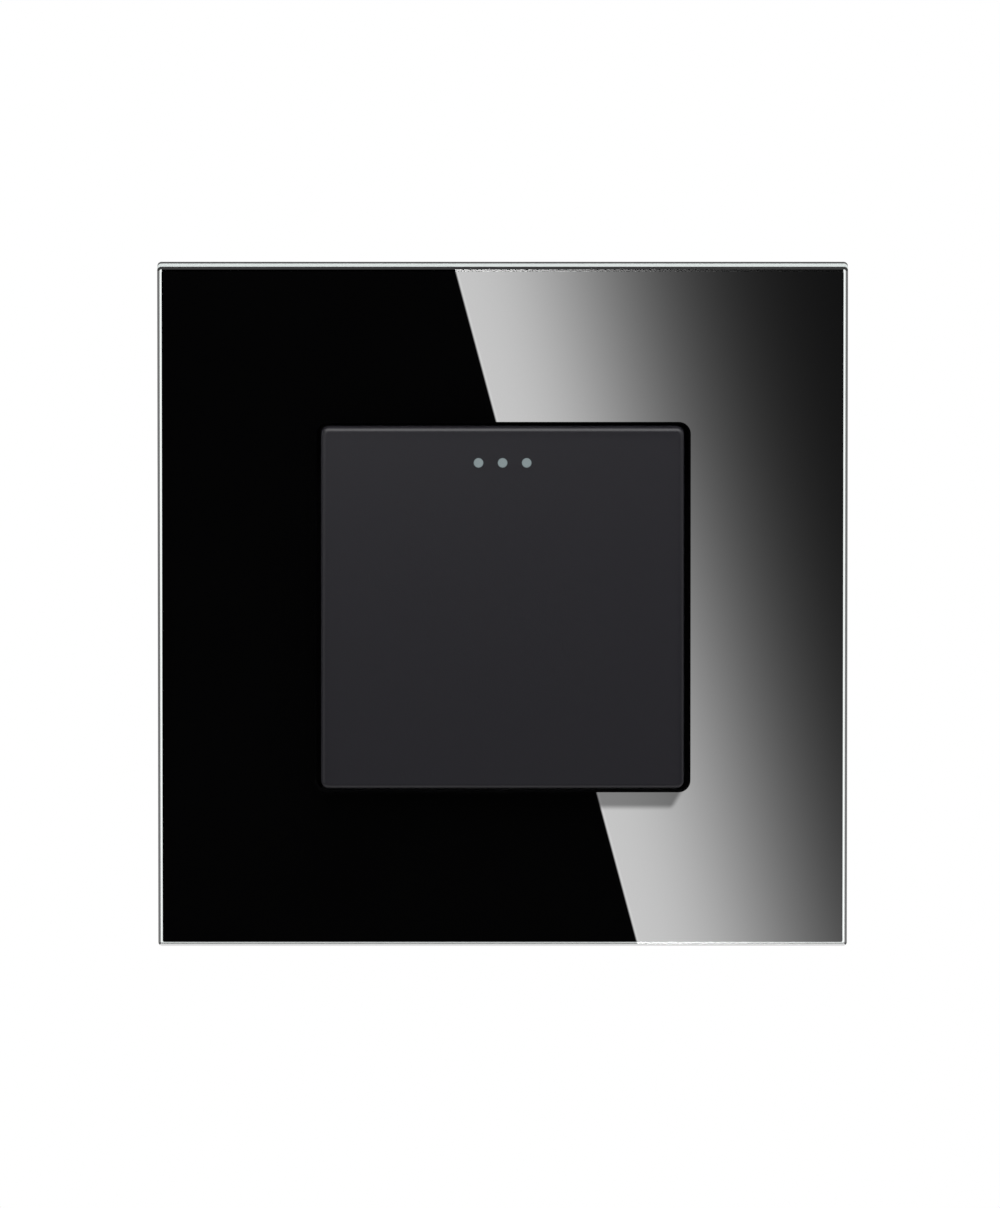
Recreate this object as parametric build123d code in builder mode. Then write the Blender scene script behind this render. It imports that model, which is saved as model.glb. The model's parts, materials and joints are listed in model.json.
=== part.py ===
from build123d import *
from math import cos, radians, sin
import os

# Single light switch: a square black glass plate on a moulded carrier, clipped to a steel
# mounting yoke, with one proud rocker key over a two-way seesaw contact mechanism.
# Millimetres. The origin is the centre of the box screws on the wall surface, +Z is up and
# the key looks along -Y. Heights are measured from the wall towards the room, so whatever
# sits inside the wall box has a negative height.

# Glass plate
PLATE = 86.0
PLATE_CORNER = 0.5
GLASS_FRONT = 9.5
GLASS_THICKNESS = 4.0
GLASS_ARRIS = 0.4
GLASS_INNER_ARRIS = 0.3
OPENING = 46.3
OPENING_CORNER = 1.2

# Foam pad that bonds the glass to its carrier
PAD_THICKNESS = 0.5
PAD_OUTER = 81.0
PAD_INNER = 52.0

# Carrier frame behind the glass
CARRIER = 83.6
CARRIER_CORNER = 2.0
CARRIER_WALL = 1.6
CARRIER_OPENING = 47.3
CARRIER_COLLAR_WALL = 1.2
CARRIER_COLLAR_END = 1.7
CARRIER_RIM_CHAMFER = 0.5
RIB_WALL = 1.0
RIB_SPREAD = 17.0
RIB_BITE = 0.2
PRY_NOTCH = (9.0, 1.6)

# Mounting yoke and its box screws
YOKE = 71.0
YOKE_CORNER = 4.0
YOKE_THICKNESS = 1.0
YOKE_WINDOW = (44.2, 36.6)
YOKE_BEAD = (13.0, 1.6, 0.5)
YOKE_BEAD_CENTRE = (25.6, 12.0)
BOX_SCREW_SPACING = 60.3
BOX_SLOT_LENGTH = 7.5
BOX_SLOT_WIDTH = 4.0
TAB_CENTRE = (33.0, 19.0)
TAB_WIDTH = 8.0
TAB_TOP = 3.2
TAB_WINDOW = (4.0, 1.0)
TAB_WINDOW_HEIGHT = 2.2

# Rocker: how far the key stands proud when level, and how far it tips each way
KEY = 45.2
KEY_CORNER = 0.9
KEY_EDGE = 0.6
KEY_WALL = 1.5
KEY_PROUD = 3.4
KEY_DRAFT = 0.6
KEY_SKIRT_END = -0.4
PIVOT_HEIGHT = 6.0
HALF_TRAVEL = 4.0
DOT_RADIUS = 0.65
DOT_PITCH = 3.0
DOT_HEIGHT = 18.2

# Cradle that carries the key on its trunnions
CRADLE_PLATE = (33.6, 26.0)
CRADLE_BACK = 2.3
CRADLE_FRONT = 4.3
TRUNNION_RADIUS = 1.5
TRUNNION_END = 19.3
TUBE_RADIUS = 3.4
TUBE_BORE = 2.1
TUBE_END = -9.0
TUBE_ROOF = 1.0

# Plunger and its spring, measured along the cradle from the pivot
PLUNGER_RADIUS = 2.0
PLUNGER_BORE = 1.65
PLUNGER_TOP = -3.0
PLUNGER_SEAT = -9.0
PLUNGER_SHOULDER = -11.0
TIP_CENTRE = -13.0
TIP_RADIUS = 1.3
SPRING_RADIUS = 1.2
SPRING_WIRE = 0.22
SPRING_TURNS = 6
SPRING_PLAY = 0.02

# Mechanism housing, split in two at the parting height
BODY = (43.6, 36.0)
BODY_CHAMFER = 3.0
FLANGE = 44.6
FLANGE_CORNER = 1.5
FLANGE_TOP = 2.2
PARTING = -5.0
WEB = 1.6
WELL = (8.2, 9.4)
WELL_CORNER = 1.0
PLUNGER_SLOT = (5.2, 6.4)
EAR_CENTRE = 18.5
EAR_THICKNESS = 2.0
EAR_RADIUS = 2.8
EAR_BORE = 1.55
SNAP_ARM = (8.0, 8.0)
SNAP_ARM_WALL = 1.15
SNAP_WINDOW = (3.0, 4.2)
SNAP_WINDOW_CENTRE = 5.0
STOP_POST = (3.0, 2.0)
STOP_POST_SPACING = (29.5, 18.0)
STOP_POST_TOP = 7.5
CORE_POCKET = (9.5, 12.0)
CORE_POCKET_SPACING = 21.5
EAR_WEB = (1.8, 1.2, 2.0)
SNAP_WEDGE = (2.5, 0.9)
LEAD_PASSAGE = 0.2

# Contact chamber inside the base
DECK = -11.75
BASE_BACK = -23.0
CHAMBER = (36.0, 31.0)
CHAMBER_CORNER = 2.0
BACK_CHAMFER = 0.8
BARRIER_WALL = 1.2
BARRIER_HEIGHT = 4.5
STRIP = 0.8
TIP_HEIGHT = 0.5
FIXED_TIP_RADIUS = 1.5
MOVING_TIP_RADIUS = 1.4
SEESAW_AXIS = -9.15
SEESAW_HALF_TRAVEL = 5.0
SEESAW = (5.0, 17.0)
SEESAW_CORNER = 1.0
SEESAW_EAR = 0.5
SEESAW_EAR_OVERHANG = 0.4
CHEEK_INNER = 3.2
CHEEK_TOP = -8.0
CONTACT_Z = 7.0

# Terminals: brass pillars with a wire bore and a clamping screw from the back
PILLAR = (7.0, 8.25)
PILLAR_CHAMFER = 0.4
PILLAR_X = 12.0
PILLAR_Z = 10.0
WIRE_HEIGHT = -15.0
WIRE_BORE = 1.9
ENTRY_BORE = 2.2
ENTRY_FUNNEL = 0.8
SCREW_RADIUS = 1.7
SCREW_HEAD = (2.5, 1.8)
SCREW_HEAD_CHAMFER = 0.25
SCREW_SLOT = (0.9, 1.0)
SCREW_LIFT = 0.2
THREAD_PLAY = 0.03

# Locator lamp behind the three dots
BOARD = (18.0, 9.5)
BOARD_THICKNESS = 1.6
BOARD_Z = 15.75
LEAD_X = 7.0
LEAD_Z = 12.4
LEAD_RADIUS = 0.4
LEAD_HOLE_PLAY = 0.05
LEAD_STUB = 0.5
CHIP_BODY = (3.2, 1.6, 0.6)
CHIP_LENS = (2.0, 1.6, 0.5)
CHIP_LENS_TAPER = 8.0
RESISTOR = (3.2, 1.6, 0.6)
DIODE = (3.0, 1.8, 1.0)
SMALL_CHIPS = (5.2, 16.4)

CLEAR = 0.1

# Heights that follow from the driving dimensions
GLASS_BACK = GLASS_FRONT - GLASS_THICKNESS
CARRIER_FRONT = GLASS_BACK - PAD_THICKNESS
CARRIER_BACK = CARRIER_FRONT - CARRIER_WALL
KEY_FACE = GLASS_FRONT + KEY_PROUD - PIVOT_HEIGHT
KEY_INNER = KEY_FACE - KEY_WALL
PILLAR_BACK = DECK - PILLAR[1]
FIXED_TIP_FRONT = DECK + STRIP + TIP_HEIGHT
PILLARS = [(-PILLAR_X, PILLAR_Z), (PILLAR_X, PILLAR_Z), (PILLAR_X, -PILLAR_Z)]

# Planes. WALL looks into the room. ROCKER goes through the pivot and tips with the key, which
# rests with its top edge pressed in. SEESAW_PLANE is the back of the tipped contact blade.
WALL = Plane.XZ
TIP = radians(HALF_TRAVEL)
ROCKER = Plane(
    origin=(0, -PIVOT_HEIGHT, 0), x_dir=(1, 0, 0), z_dir=(0, -cos(TIP), sin(TIP))
)
ROCKER_SECTION = Plane(
    origin=ROCKER.origin, x_dir=(1, 0, 0), z_dir=Vector(1, 0, 0).cross(ROCKER.z_dir)
)
ROCKER_AXIS = Axis(ROCKER.origin, ROCKER.z_dir)
BLADE_TIP = radians(SEESAW_HALF_TRAVEL)
SEESAW_PLANE = Plane(
    origin=(0, -SEESAW_AXIS, 0),
    x_dir=(1, 0, 0),
    z_dir=(0, -cos(BLADE_TIP), -sin(BLADE_TIP)),
)


# Glass panel: 4 mm toughened glass with polished arrises and a square opening for the key.
with BuildPart() as glass_panel:
    with BuildSketch(WALL.offset(GLASS_BACK)):
        RectangleRounded(PLATE, PLATE, PLATE_CORNER)
        RectangleRounded(OPENING, OPENING, OPENING_CORNER, mode=Mode.SUBTRACT)
    extrude(amount=GLASS_THICKNESS)
    glass_face = faces().sort_by(Axis.Y)[0]
    chamfer(glass_face.outer_wire().edges(), GLASS_ARRIS)
    glass_face = faces().sort_by(Axis.Y)[0]
    chamfer(glass_face.inner_wires()[0].edges(), GLASS_INNER_ARRIS)

# Bonding pad: a die-cut ring of black foam tape between the glass and the carrier.
with BuildPart() as bonding_pad:
    with BuildSketch(WALL.offset(CARRIER_FRONT)):
        Rectangle(PAD_OUTER, PAD_OUTER)
        Rectangle(PAD_INNER, PAD_INNER, mode=Mode.SUBTRACT)
    extrude(amount=PAD_THICKNESS)

# Carrier frame: moulded tray with a rim down to the wall, a collar round the key and pairs of
# gripping ribs that take the tabs of the yoke.
GRIP_WALL = 1.2
GRIP_CENTRES = (YOKE_THICKNESS + GRIP_WALL) / 2
CORNER_RIB_STRETCH = 1.25
CATCH_REACH = 0.7
CATCH_PLAY = (0.3, 0.4)
with BuildPart() as carrier_frame:
    with BuildSketch(WALL):
        RectangleRounded(CARRIER, CARRIER, CARRIER_CORNER)
    extrude(amount=CARRIER_FRONT)
    with BuildSketch(WALL):
        RectangleRounded(
            CARRIER - 2 * CARRIER_WALL, CARRIER - 2 * CARRIER_WALL, CARRIER_CORNER / 2
        )
    extrude(amount=CARRIER_BACK, mode=Mode.SUBTRACT)
    # collar round the opening, stopping short of the yoke
    with BuildSketch(WALL.offset(CARRIER_COLLAR_END)):
        collar = CARRIER_OPENING + 2 * CARRIER_COLLAR_WALL
        RectangleRounded(collar, collar, OPENING_CORNER + CARRIER_COLLAR_WALL)
    extrude(amount=CARRIER_BACK - CARRIER_COLLAR_END)
    with BuildSketch(WALL):
        RectangleRounded(CARRIER_OPENING, CARRIER_OPENING, OPENING_CORNER)
    extrude(amount=CARRIER_FRONT, mode=Mode.SUBTRACT)
    # stiffening ribs from the collar to the rim, in pairs on each side
    with BuildSketch(WALL.offset(CARRIER_COLLAR_END)):
        rib_length = (CARRIER - collar) / 2 - CARRIER_WALL + 2 * RIB_BITE
        rib_centre = (collar + rib_length) / 2 - RIB_BITE
        for spin in range(0, 360, 90):
            with PolarLocations(0, 1, start_angle=spin):
                with Locations((rib_centre, RIB_SPREAD / 2), (rib_centre, -RIB_SPREAD / 2)):
                    Rectangle(rib_length, RIB_WALL)
        with PolarLocations((CARRIER + collar) / 2 * 2**0.5 / 2, 4, start_angle=45):
            Rectangle(rib_length * CORNER_RIB_STRETCH, RIB_WALL)
    extrude(amount=CARRIER_BACK - CARRIER_COLLAR_END)
    # two ribs either side of each yoke tab, the outer one with a catch for the tab's window
    with BuildSketch(WALL.offset(CARRIER_COLLAR_END)):
        with GridLocations(2 * TAB_CENTRE[0], 2 * TAB_CENTRE[1], 2, 2):
            with Locations((GRIP_CENTRES, 0), (-GRIP_CENTRES, 0)):
                Rectangle(GRIP_WALL, TAB_WIDTH)
    extrude(amount=CARRIER_BACK - CARRIER_COLLAR_END)
    catch = TAB_WINDOW[1] - CATCH_PLAY[0]
    with BuildSketch(WALL.offset(TAB_WINDOW_HEIGHT - catch / 2)):
        with GridLocations(2 * TAB_CENTRE[0] + YOKE_THICKNESS, 2 * TAB_CENTRE[1], 2, 2):
            Rectangle(CATCH_REACH, TAB_WINDOW[0] - CATCH_PLAY[1])
    extrude(amount=catch)
    # slot in the lower rim for a screwdriver blade that lifts the plate off
    with BuildSketch(WALL):
        with Locations((0, -CARRIER / 2)):
            Rectangle(PRY_NOTCH[0], 4 * CARRIER_WALL)
    extrude(amount=PRY_NOTCH[1], mode=Mode.SUBTRACT)
    carrier_face = carrier_frame.faces().sort_by(Axis.Y)[0]
    chamfer(carrier_face.outer_wire().edges(), CARRIER_RIM_CHAMFER)

# Mounting yoke: stamped and lanced 1 mm steel, with slots for the box screws on both centre
# lines and four tabs bent forwards for the carrier.
LANCE = (2.6, TAB_WIDTH + 1.0)
with BuildPart() as mounting_yoke:
    with BuildSketch(WALL):
        RectangleRounded(YOKE, YOKE, YOKE_CORNER)
        Rectangle(*YOKE_WINDOW, mode=Mode.SUBTRACT)
        with GridLocations(BOX_SCREW_SPACING, 0, 2, 1):
            SlotOverall(BOX_SLOT_LENGTH, BOX_SLOT_WIDTH, mode=Mode.SUBTRACT)
        with GridLocations(0, BOX_SCREW_SPACING, 1, 2):
            SlotOverall(
                BOX_SLOT_LENGTH, BOX_SLOT_WIDTH, rotation=90, mode=Mode.SUBTRACT
            )
        lance_x = 2 * TAB_CENTRE[0] - YOKE_THICKNESS - LANCE[0]
        with GridLocations(lance_x, 2 * TAB_CENTRE[1], 2, 2):
            Rectangle(*LANCE, mode=Mode.SUBTRACT)
    extrude(amount=YOKE_THICKNESS)
    with BuildSketch(WALL):
        with GridLocations(2 * TAB_CENTRE[0], 2 * TAB_CENTRE[1], 2, 2):
            Rectangle(YOKE_THICKNESS, TAB_WIDTH)
    extrude(amount=TAB_TOP)
    # windows in the tabs
    with BuildSketch(Plane.YZ):
        with Locations((-TAB_WINDOW_HEIGHT, 0)):
            with GridLocations(0, 2 * TAB_CENTRE[1], 1, 2):
                Rectangle(TAB_WINDOW[1], TAB_WINDOW[0])
    extrude(amount=YOKE, both=True, mode=Mode.SUBTRACT)
    # stiffening beads pressed forwards beside the window
    with BuildSketch(WALL.offset(YOKE_THICKNESS)):
        with GridLocations(2 * YOKE_BEAD_CENTRE[0], 2 * YOKE_BEAD_CENTRE[1], 2, 2):
            SlotOverall(YOKE_BEAD[0], YOKE_BEAD[1], rotation=90)
    extrude(amount=YOKE_BEAD[2])

# Bearing housing: front half of the mechanism. It drops through the yoke from the front,
# carries the ears for the rocker's trunnions and closes the contact chamber behind.
WEDGE_BITE = 0.5
WEDGE_HALF_WIDTH = 3.0
with BuildPart() as bearing_housing:
    with BuildSketch(WALL.offset(PARTING)):
        Rectangle(*BODY)
    extrude(amount=YOKE_THICKNESS - PARTING)
    chamfer(bearing_housing.edges().filter_by(Axis.Y), BODY_CHAMFER)
    with BuildSketch(WALL.offset(YOKE_THICKNESS)):
        RectangleRounded(FLANGE, FLANGE, FLANGE_CORNER)
    extrude(amount=FLANGE_TOP - YOKE_THICKNESS)
    # ears with round bores for the trunnions
    with BuildSketch(Plane.YZ.offset(EAR_CENTRE - EAR_THICKNESS / 2)):
        with Locations((-PIVOT_HEIGHT, 0)):
            Circle(EAR_RADIUS)
        with Locations((-(PIVOT_HEIGHT + FLANGE_TOP) / 2, 0)):
            Rectangle(PIVOT_HEIGHT - FLANGE_TOP, 2 * EAR_RADIUS)
    ear = extrude(amount=EAR_THICKNESS)
    mirror(ear, about=Plane.YZ)
    # foot web outside each ear
    with BuildSketch(WALL.offset(FLANGE_TOP)):
        with GridLocations(2 * EAR_CENTRE + EAR_THICKNESS + EAR_WEB[0], 0, 2, 1):
            Rectangle(EAR_WEB[0], EAR_WEB[1])
    extrude(amount=EAR_WEB[2])
    with BuildSketch(Plane.YZ):
        with Locations((-PIVOT_HEIGHT, 0)):
            Circle(EAR_BORE)
    extrude(amount=BODY[0], both=True, mode=Mode.SUBTRACT)
    # posts that stop the cradle at both ends of its travel
    with BuildSketch(WALL.offset(FLANGE_TOP)):
        with GridLocations(*STOP_POST_SPACING, 2, 2):
            Rectangle(*STOP_POST)
    extrude(amount=STOP_POST_TOP - FLANGE_TOP)
    # well for the cradle's tube, and the slot that lets the plunger through the web
    with BuildSketch(WALL.offset(FLANGE_TOP)):
        RectangleRounded(*WELL, WELL_CORNER)
    extrude(amount=-(FLANGE_TOP - PARTING - WEB), mode=Mode.SUBTRACT)
    with BuildSketch(WALL.offset(FLANGE_TOP)):
        RectangleRounded(*PLUNGER_SLOT, WELL_CORNER)
    extrude(amount=-(FLANGE_TOP - PARTING), mode=Mode.SUBTRACT)
    # cored pockets each side of the well
    with BuildSketch(WALL.offset(FLANGE_TOP)):
        with GridLocations(CORE_POCKET_SPACING, 0, 2, 1):
            Rectangle(*CORE_POCKET)
    extrude(amount=-(FLANGE_TOP - PARTING - WEB), mode=Mode.SUBTRACT)
    # snap wedges that hold the housing in the yoke
    with BuildSketch(Plane.YZ):
        with BuildLine():
            wedge_root = BODY[1] / 2 - WEDGE_BITE
            wedge_lip = BODY[1] / 2 + SNAP_WEDGE[1]
            wedge_back = CLEAR + SNAP_WEDGE[0]
            Polyline((CLEAR, wedge_root), (CLEAR, wedge_lip), (wedge_back, wedge_root), close=True)
        make_face()
        mirror(about=Plane.XZ)
    extrude(amount=WEDGE_HALF_WIDTH, both=True)
    # arms that snap over the base on the left and right
    with BuildSketch(WALL.offset(PARTING - SNAP_ARM[1])):
        with GridLocations(BODY[0] - SNAP_ARM_WALL, 0, 2, 1):
            Rectangle(SNAP_ARM_WALL, SNAP_ARM[0])
    extrude(amount=SNAP_ARM[1])
    with BuildSketch(Plane.YZ):
        with Locations((SNAP_WINDOW_CENTRE - PARTING, 0)):
            Rectangle(*SNAP_WINDOW)
    extrude(amount=BODY[0], both=True, mode=Mode.SUBTRACT)
    # passages for the lamp's leads
    with BuildSketch(WALL.offset(PARTING)):
        with Locations((LEAD_X, LEAD_Z), (-LEAD_X, LEAD_Z)):
            Circle(LEAD_RADIUS + LEAD_PASSAGE)
    extrude(amount=FLANGE_TOP - PARTING, mode=Mode.SUBTRACT)

# Contact base: rear half of the mechanism, cornered to pass into a round wall box. The
# chamber holds the contacts on its deck, with pockets below for the terminal pillars.
RIGHT_BARRIER = (11.5, 13.2)
TOP_BARRIER = (12.6, 6.0)
LOWER_BARRIER = ((-7.0, -9.5), 12.2)
DRIVER_PLAY = 0.3
SNAP_SEAT_PLAY = 0.2
LUG_BITE = 0.5
LUG_REACH = 1.0
STRIP_GAUGE = (11.0, 2.0)
BACK_RECESS = (16.0, 9.0, 1.0)
BACK_MARK_DEPTH = 0.6
CORE_OUTS_Z = (12.0, 7.0, 22.0)
CORE_OUTS_X = (7.0, 8.0, 29.0)
DECK_WALL = 2.0
with BuildPart() as contact_base:
    with BuildSketch(WALL.offset(BASE_BACK)):
        Rectangle(*BODY)
    extrude(amount=PARTING - BASE_BACK)
    chamfer(contact_base.edges().filter_by(Axis.Y), BODY_CHAMFER)
    chamfer(contact_base.faces().sort_by(Axis.Y)[-1].edges(), BACK_CHAMFER)
    with BuildSketch(WALL.offset(DECK)):
        RectangleRounded(*CHAMBER, CHAMBER_CORNER)
    extrude(amount=PARTING - DECK, mode=Mode.SUBTRACT)
    # barriers between the live parts
    with BuildSketch(WALL.offset(DECK)):
        with Locations((RIGHT_BARRIER[0], 0)):
            Rectangle(RIGHT_BARRIER[1], BARRIER_WALL)
        with Locations((0, TOP_BARRIER[0])):
            Rectangle(BARRIER_WALL, TOP_BARRIER[1])
        with Locations(LOWER_BARRIER[0]):
            Rectangle(BARRIER_WALL, LOWER_BARRIER[1])
    extrude(amount=BARRIER_HEIGHT)
    # pockets for the pillars
    with BuildSketch(WALL.offset(DECK)):
        with Locations(*PILLARS):
            Rectangle(PILLAR[0] + 2 * CLEAR, PILLAR[0] + 2 * CLEAR)
    extrude(amount=-(PILLAR[1] + CLEAR), mode=Mode.SUBTRACT)
    # screwdriver holes in the back
    with BuildSketch(WALL.offset(BASE_BACK)):
        with Locations(*PILLARS):
            Circle(SCREW_HEAD[0] + DRIVER_PLAY)
    extrude(amount=PILLAR_BACK - BASE_BACK, mode=Mode.SUBTRACT)
    # wire entries through the top and bottom walls, each with a funnel
    for x, z in PILLARS:
        outwards = 1 if z > 0 else -1
        entry = Plane(
            origin=(x, -WIRE_HEIGHT, outwards * BODY[1] / 2), z_dir=(0, 0, outwards)
        )
        with BuildSketch(entry):
            Circle(ENTRY_BORE)
        extrude(amount=-(BODY[1] / 2 - PILLAR_Z), mode=Mode.SUBTRACT)
        chamfer(
            contact_base.edges()
            .filter_by(GeomType.CIRCLE)
            .filter_by(lambda e: abs(e.radius - ENTRY_BORE) < 0.01)
            .sort_by_distance(entry.origin)[0],
            ENTRY_FUNNEL,
        )
    # seats for the snap arms, with the lugs that they catch
    with BuildSketch(WALL.offset(PARTING - SNAP_ARM[1] - SNAP_SEAT_PLAY)):
        with GridLocations(BODY[0] - SNAP_ARM_WALL, 0, 2, 1):
            Rectangle(SNAP_ARM_WALL + CLEAR, SNAP_ARM[0] + 2 * CLEAR)
    extrude(amount=SNAP_ARM[1] + SNAP_SEAT_PLAY, mode=Mode.SUBTRACT)
    with BuildSketch(Plane.XY):
        with BuildLine():
            lug_x = BODY[0] / 2 - SNAP_ARM_WALL - LUG_BITE
            lug_tip = lug_x + LUG_BITE + LUG_REACH
            lug_front = SNAP_WINDOW_CENTRE - SNAP_WINDOW[0] / 2 + CLEAR - PARTING
            lug_back = SNAP_WINDOW_CENTRE + SNAP_WINDOW[0] / 2 - CLEAR - PARTING
            Polyline((lug_x, lug_front), (lug_tip, lug_back), (lug_x, lug_back), close=True)
        make_face()
        mirror(about=Plane.YZ)
    extrude(amount=SNAP_WINDOW[1] / 2 - CLEAR, both=True)
    # groove on the back that shows how much insulation to strip, and a bare recess
    with BuildSketch(WALL.offset(BASE_BACK)):
        with Locations((-PILLAR_X, -STRIP_GAUGE[0])):
            SlotOverall(*STRIP_GAUGE)
        with Locations((0, 0)):
            RectangleRounded(*BACK_RECESS)
    extrude(amount=BACK_MARK_DEPTH, mode=Mode.SUBTRACT)
    # core-outs that keep the deck's walls even
    with BuildSketch(WALL.offset(BASE_BACK)):
        with GridLocations(0, CORE_OUTS_Z[2], 1, 2):
            Rectangle(CORE_OUTS_Z[0], CORE_OUTS_Z[1])
        with GridLocations(CORE_OUTS_X[2], 0, 2, 1):
            Rectangle(CORE_OUTS_X[0], CORE_OUTS_X[1])
    extrude(amount=DECK - BASE_BACK - DECK_WALL, mode=Mode.SUBTRACT)

# Common terminal plate: a brass strip on the deck whose two notched cheeks carry the seesaw.
# Each strip is a middle piece, a neck and a pad over its pillar: centre, then size.
CHEEK_WIDTH = 6.4
COMMON_NECK = ((-9.5, 0), (12.0, 3.6))
COMMON_PAD = ((-10.2, 7.6), (10.6, 11.8))
CONTACT_ARM = (1.6, (7.6, 4.0))
CONTACT_PAD = ((10.2, 9.2), (10.6, 8.6))
NOTCH_PLAY = 0.05
with BuildPart() as common_plate:
    with BuildSketch(WALL.offset(DECK)):
        Rectangle(2 * (CHEEK_INNER + STRIP), CHEEK_WIDTH)
        with Locations(COMMON_NECK[0]):
            Rectangle(*COMMON_NECK[1])
        with Locations(COMMON_PAD[0]):
            Rectangle(*COMMON_PAD[1])
    extrude(amount=STRIP)
    with BuildSketch(Plane.YZ.offset(CHEEK_INNER)):
        with Locations((-(DECK + CHEEK_TOP) / 2, 0)):
            Rectangle(CHEEK_TOP - DECK, CHEEK_WIDTH)
        # round-bottomed notch for the seesaw's ear
        notch = SEESAW_EAR + NOTCH_PLAY
        with Locations((-SEESAW_AXIS, 0)):
            Circle(notch, mode=Mode.SUBTRACT)
        with Locations((-(SEESAW_AXIS + CHEEK_TOP) / 2, 0)):
            Rectangle(CHEEK_TOP - SEESAW_AXIS, 2 * notch, mode=Mode.SUBTRACT)
    cheek = extrude(amount=STRIP)
    mirror(cheek, about=Plane.YZ)

# Fixed contact plates: two brass strips, the lower a mirror image of the upper.
with BuildPart() as upper_contact_plate:
    with BuildSketch(WALL.offset(DECK)):
        with Locations((CONTACT_ARM[0], CONTACT_Z)):
            Rectangle(*CONTACT_ARM[1])
        with Locations(CONTACT_PAD[0]):
            Rectangle(*CONTACT_PAD[1])
    extrude(amount=STRIP)
with BuildPart() as lower_contact_plate:
    mirror(upper_contact_plate.part, about=Plane.XY)

# Fixed contact tips: silver discs riveted to the two strips.
with BuildPart() as fixed_contact_tips:
    with BuildSketch(WALL.offset(DECK + STRIP)):
        with GridLocations(0, 2 * CONTACT_Z, 1, 2):
            Circle(FIXED_TIP_RADIUS)
    extrude(amount=TIP_HEIGHT)

# Terminal pillars: brass blocks with a cross bore for the wire and a tapped hole behind.
with BuildPart() as terminal_pillars:
    with BuildSketch(WALL.offset(PILLAR_BACK)):
        with Locations(*PILLARS):
            Rectangle(PILLAR[0], PILLAR[0])
    extrude(amount=PILLAR[1])
    chamfer(terminal_pillars.edges().filter_by(Axis.Y), PILLAR_CHAMFER)
    with BuildSketch(Plane.XY):
        with GridLocations(2 * PILLAR_X, 0, 2, 1):
            with Locations((0, -WIRE_HEIGHT)):
                Circle(WIRE_BORE)
    extrude(amount=BODY[1] / 2, both=True, mode=Mode.SUBTRACT)
    with BuildSketch(WALL.offset(PILLAR_BACK)):
        with Locations(*PILLARS):
            Circle(SCREW_RADIUS + THREAD_PLAY)
    extrude(amount=WIRE_HEIGHT - PILLAR_BACK, mode=Mode.SUBTRACT)

# Terminal screws: slotted cheese heads, backed off so that a wire can enter.
with BuildPart() as terminal_screws:
    with BuildSketch(WALL.offset(PILLAR_BACK - SCREW_LIFT)):
        with Locations(*PILLARS):
            Circle(SCREW_HEAD[0])
    extrude(amount=-SCREW_HEAD[1])
    chamfer(terminal_screws.faces().group_by(Axis.Y)[-1].edges(), SCREW_HEAD_CHAMFER)
    with BuildSketch(WALL.offset(PILLAR_BACK - SCREW_LIFT)):
        with Locations(*PILLARS):
            Circle(SCREW_RADIUS)
    extrude(amount=WIRE_HEIGHT - WIRE_BORE - PILLAR_BACK + SCREW_LIFT)
    with BuildSketch(WALL.offset(PILLAR_BACK - SCREW_LIFT - SCREW_HEAD[1])):
        with Locations(*PILLARS):
            Rectangle(2 * SCREW_HEAD[0], SCREW_SLOT[0])
    extrude(amount=SCREW_SLOT[1], mode=Mode.SUBTRACT)

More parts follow.
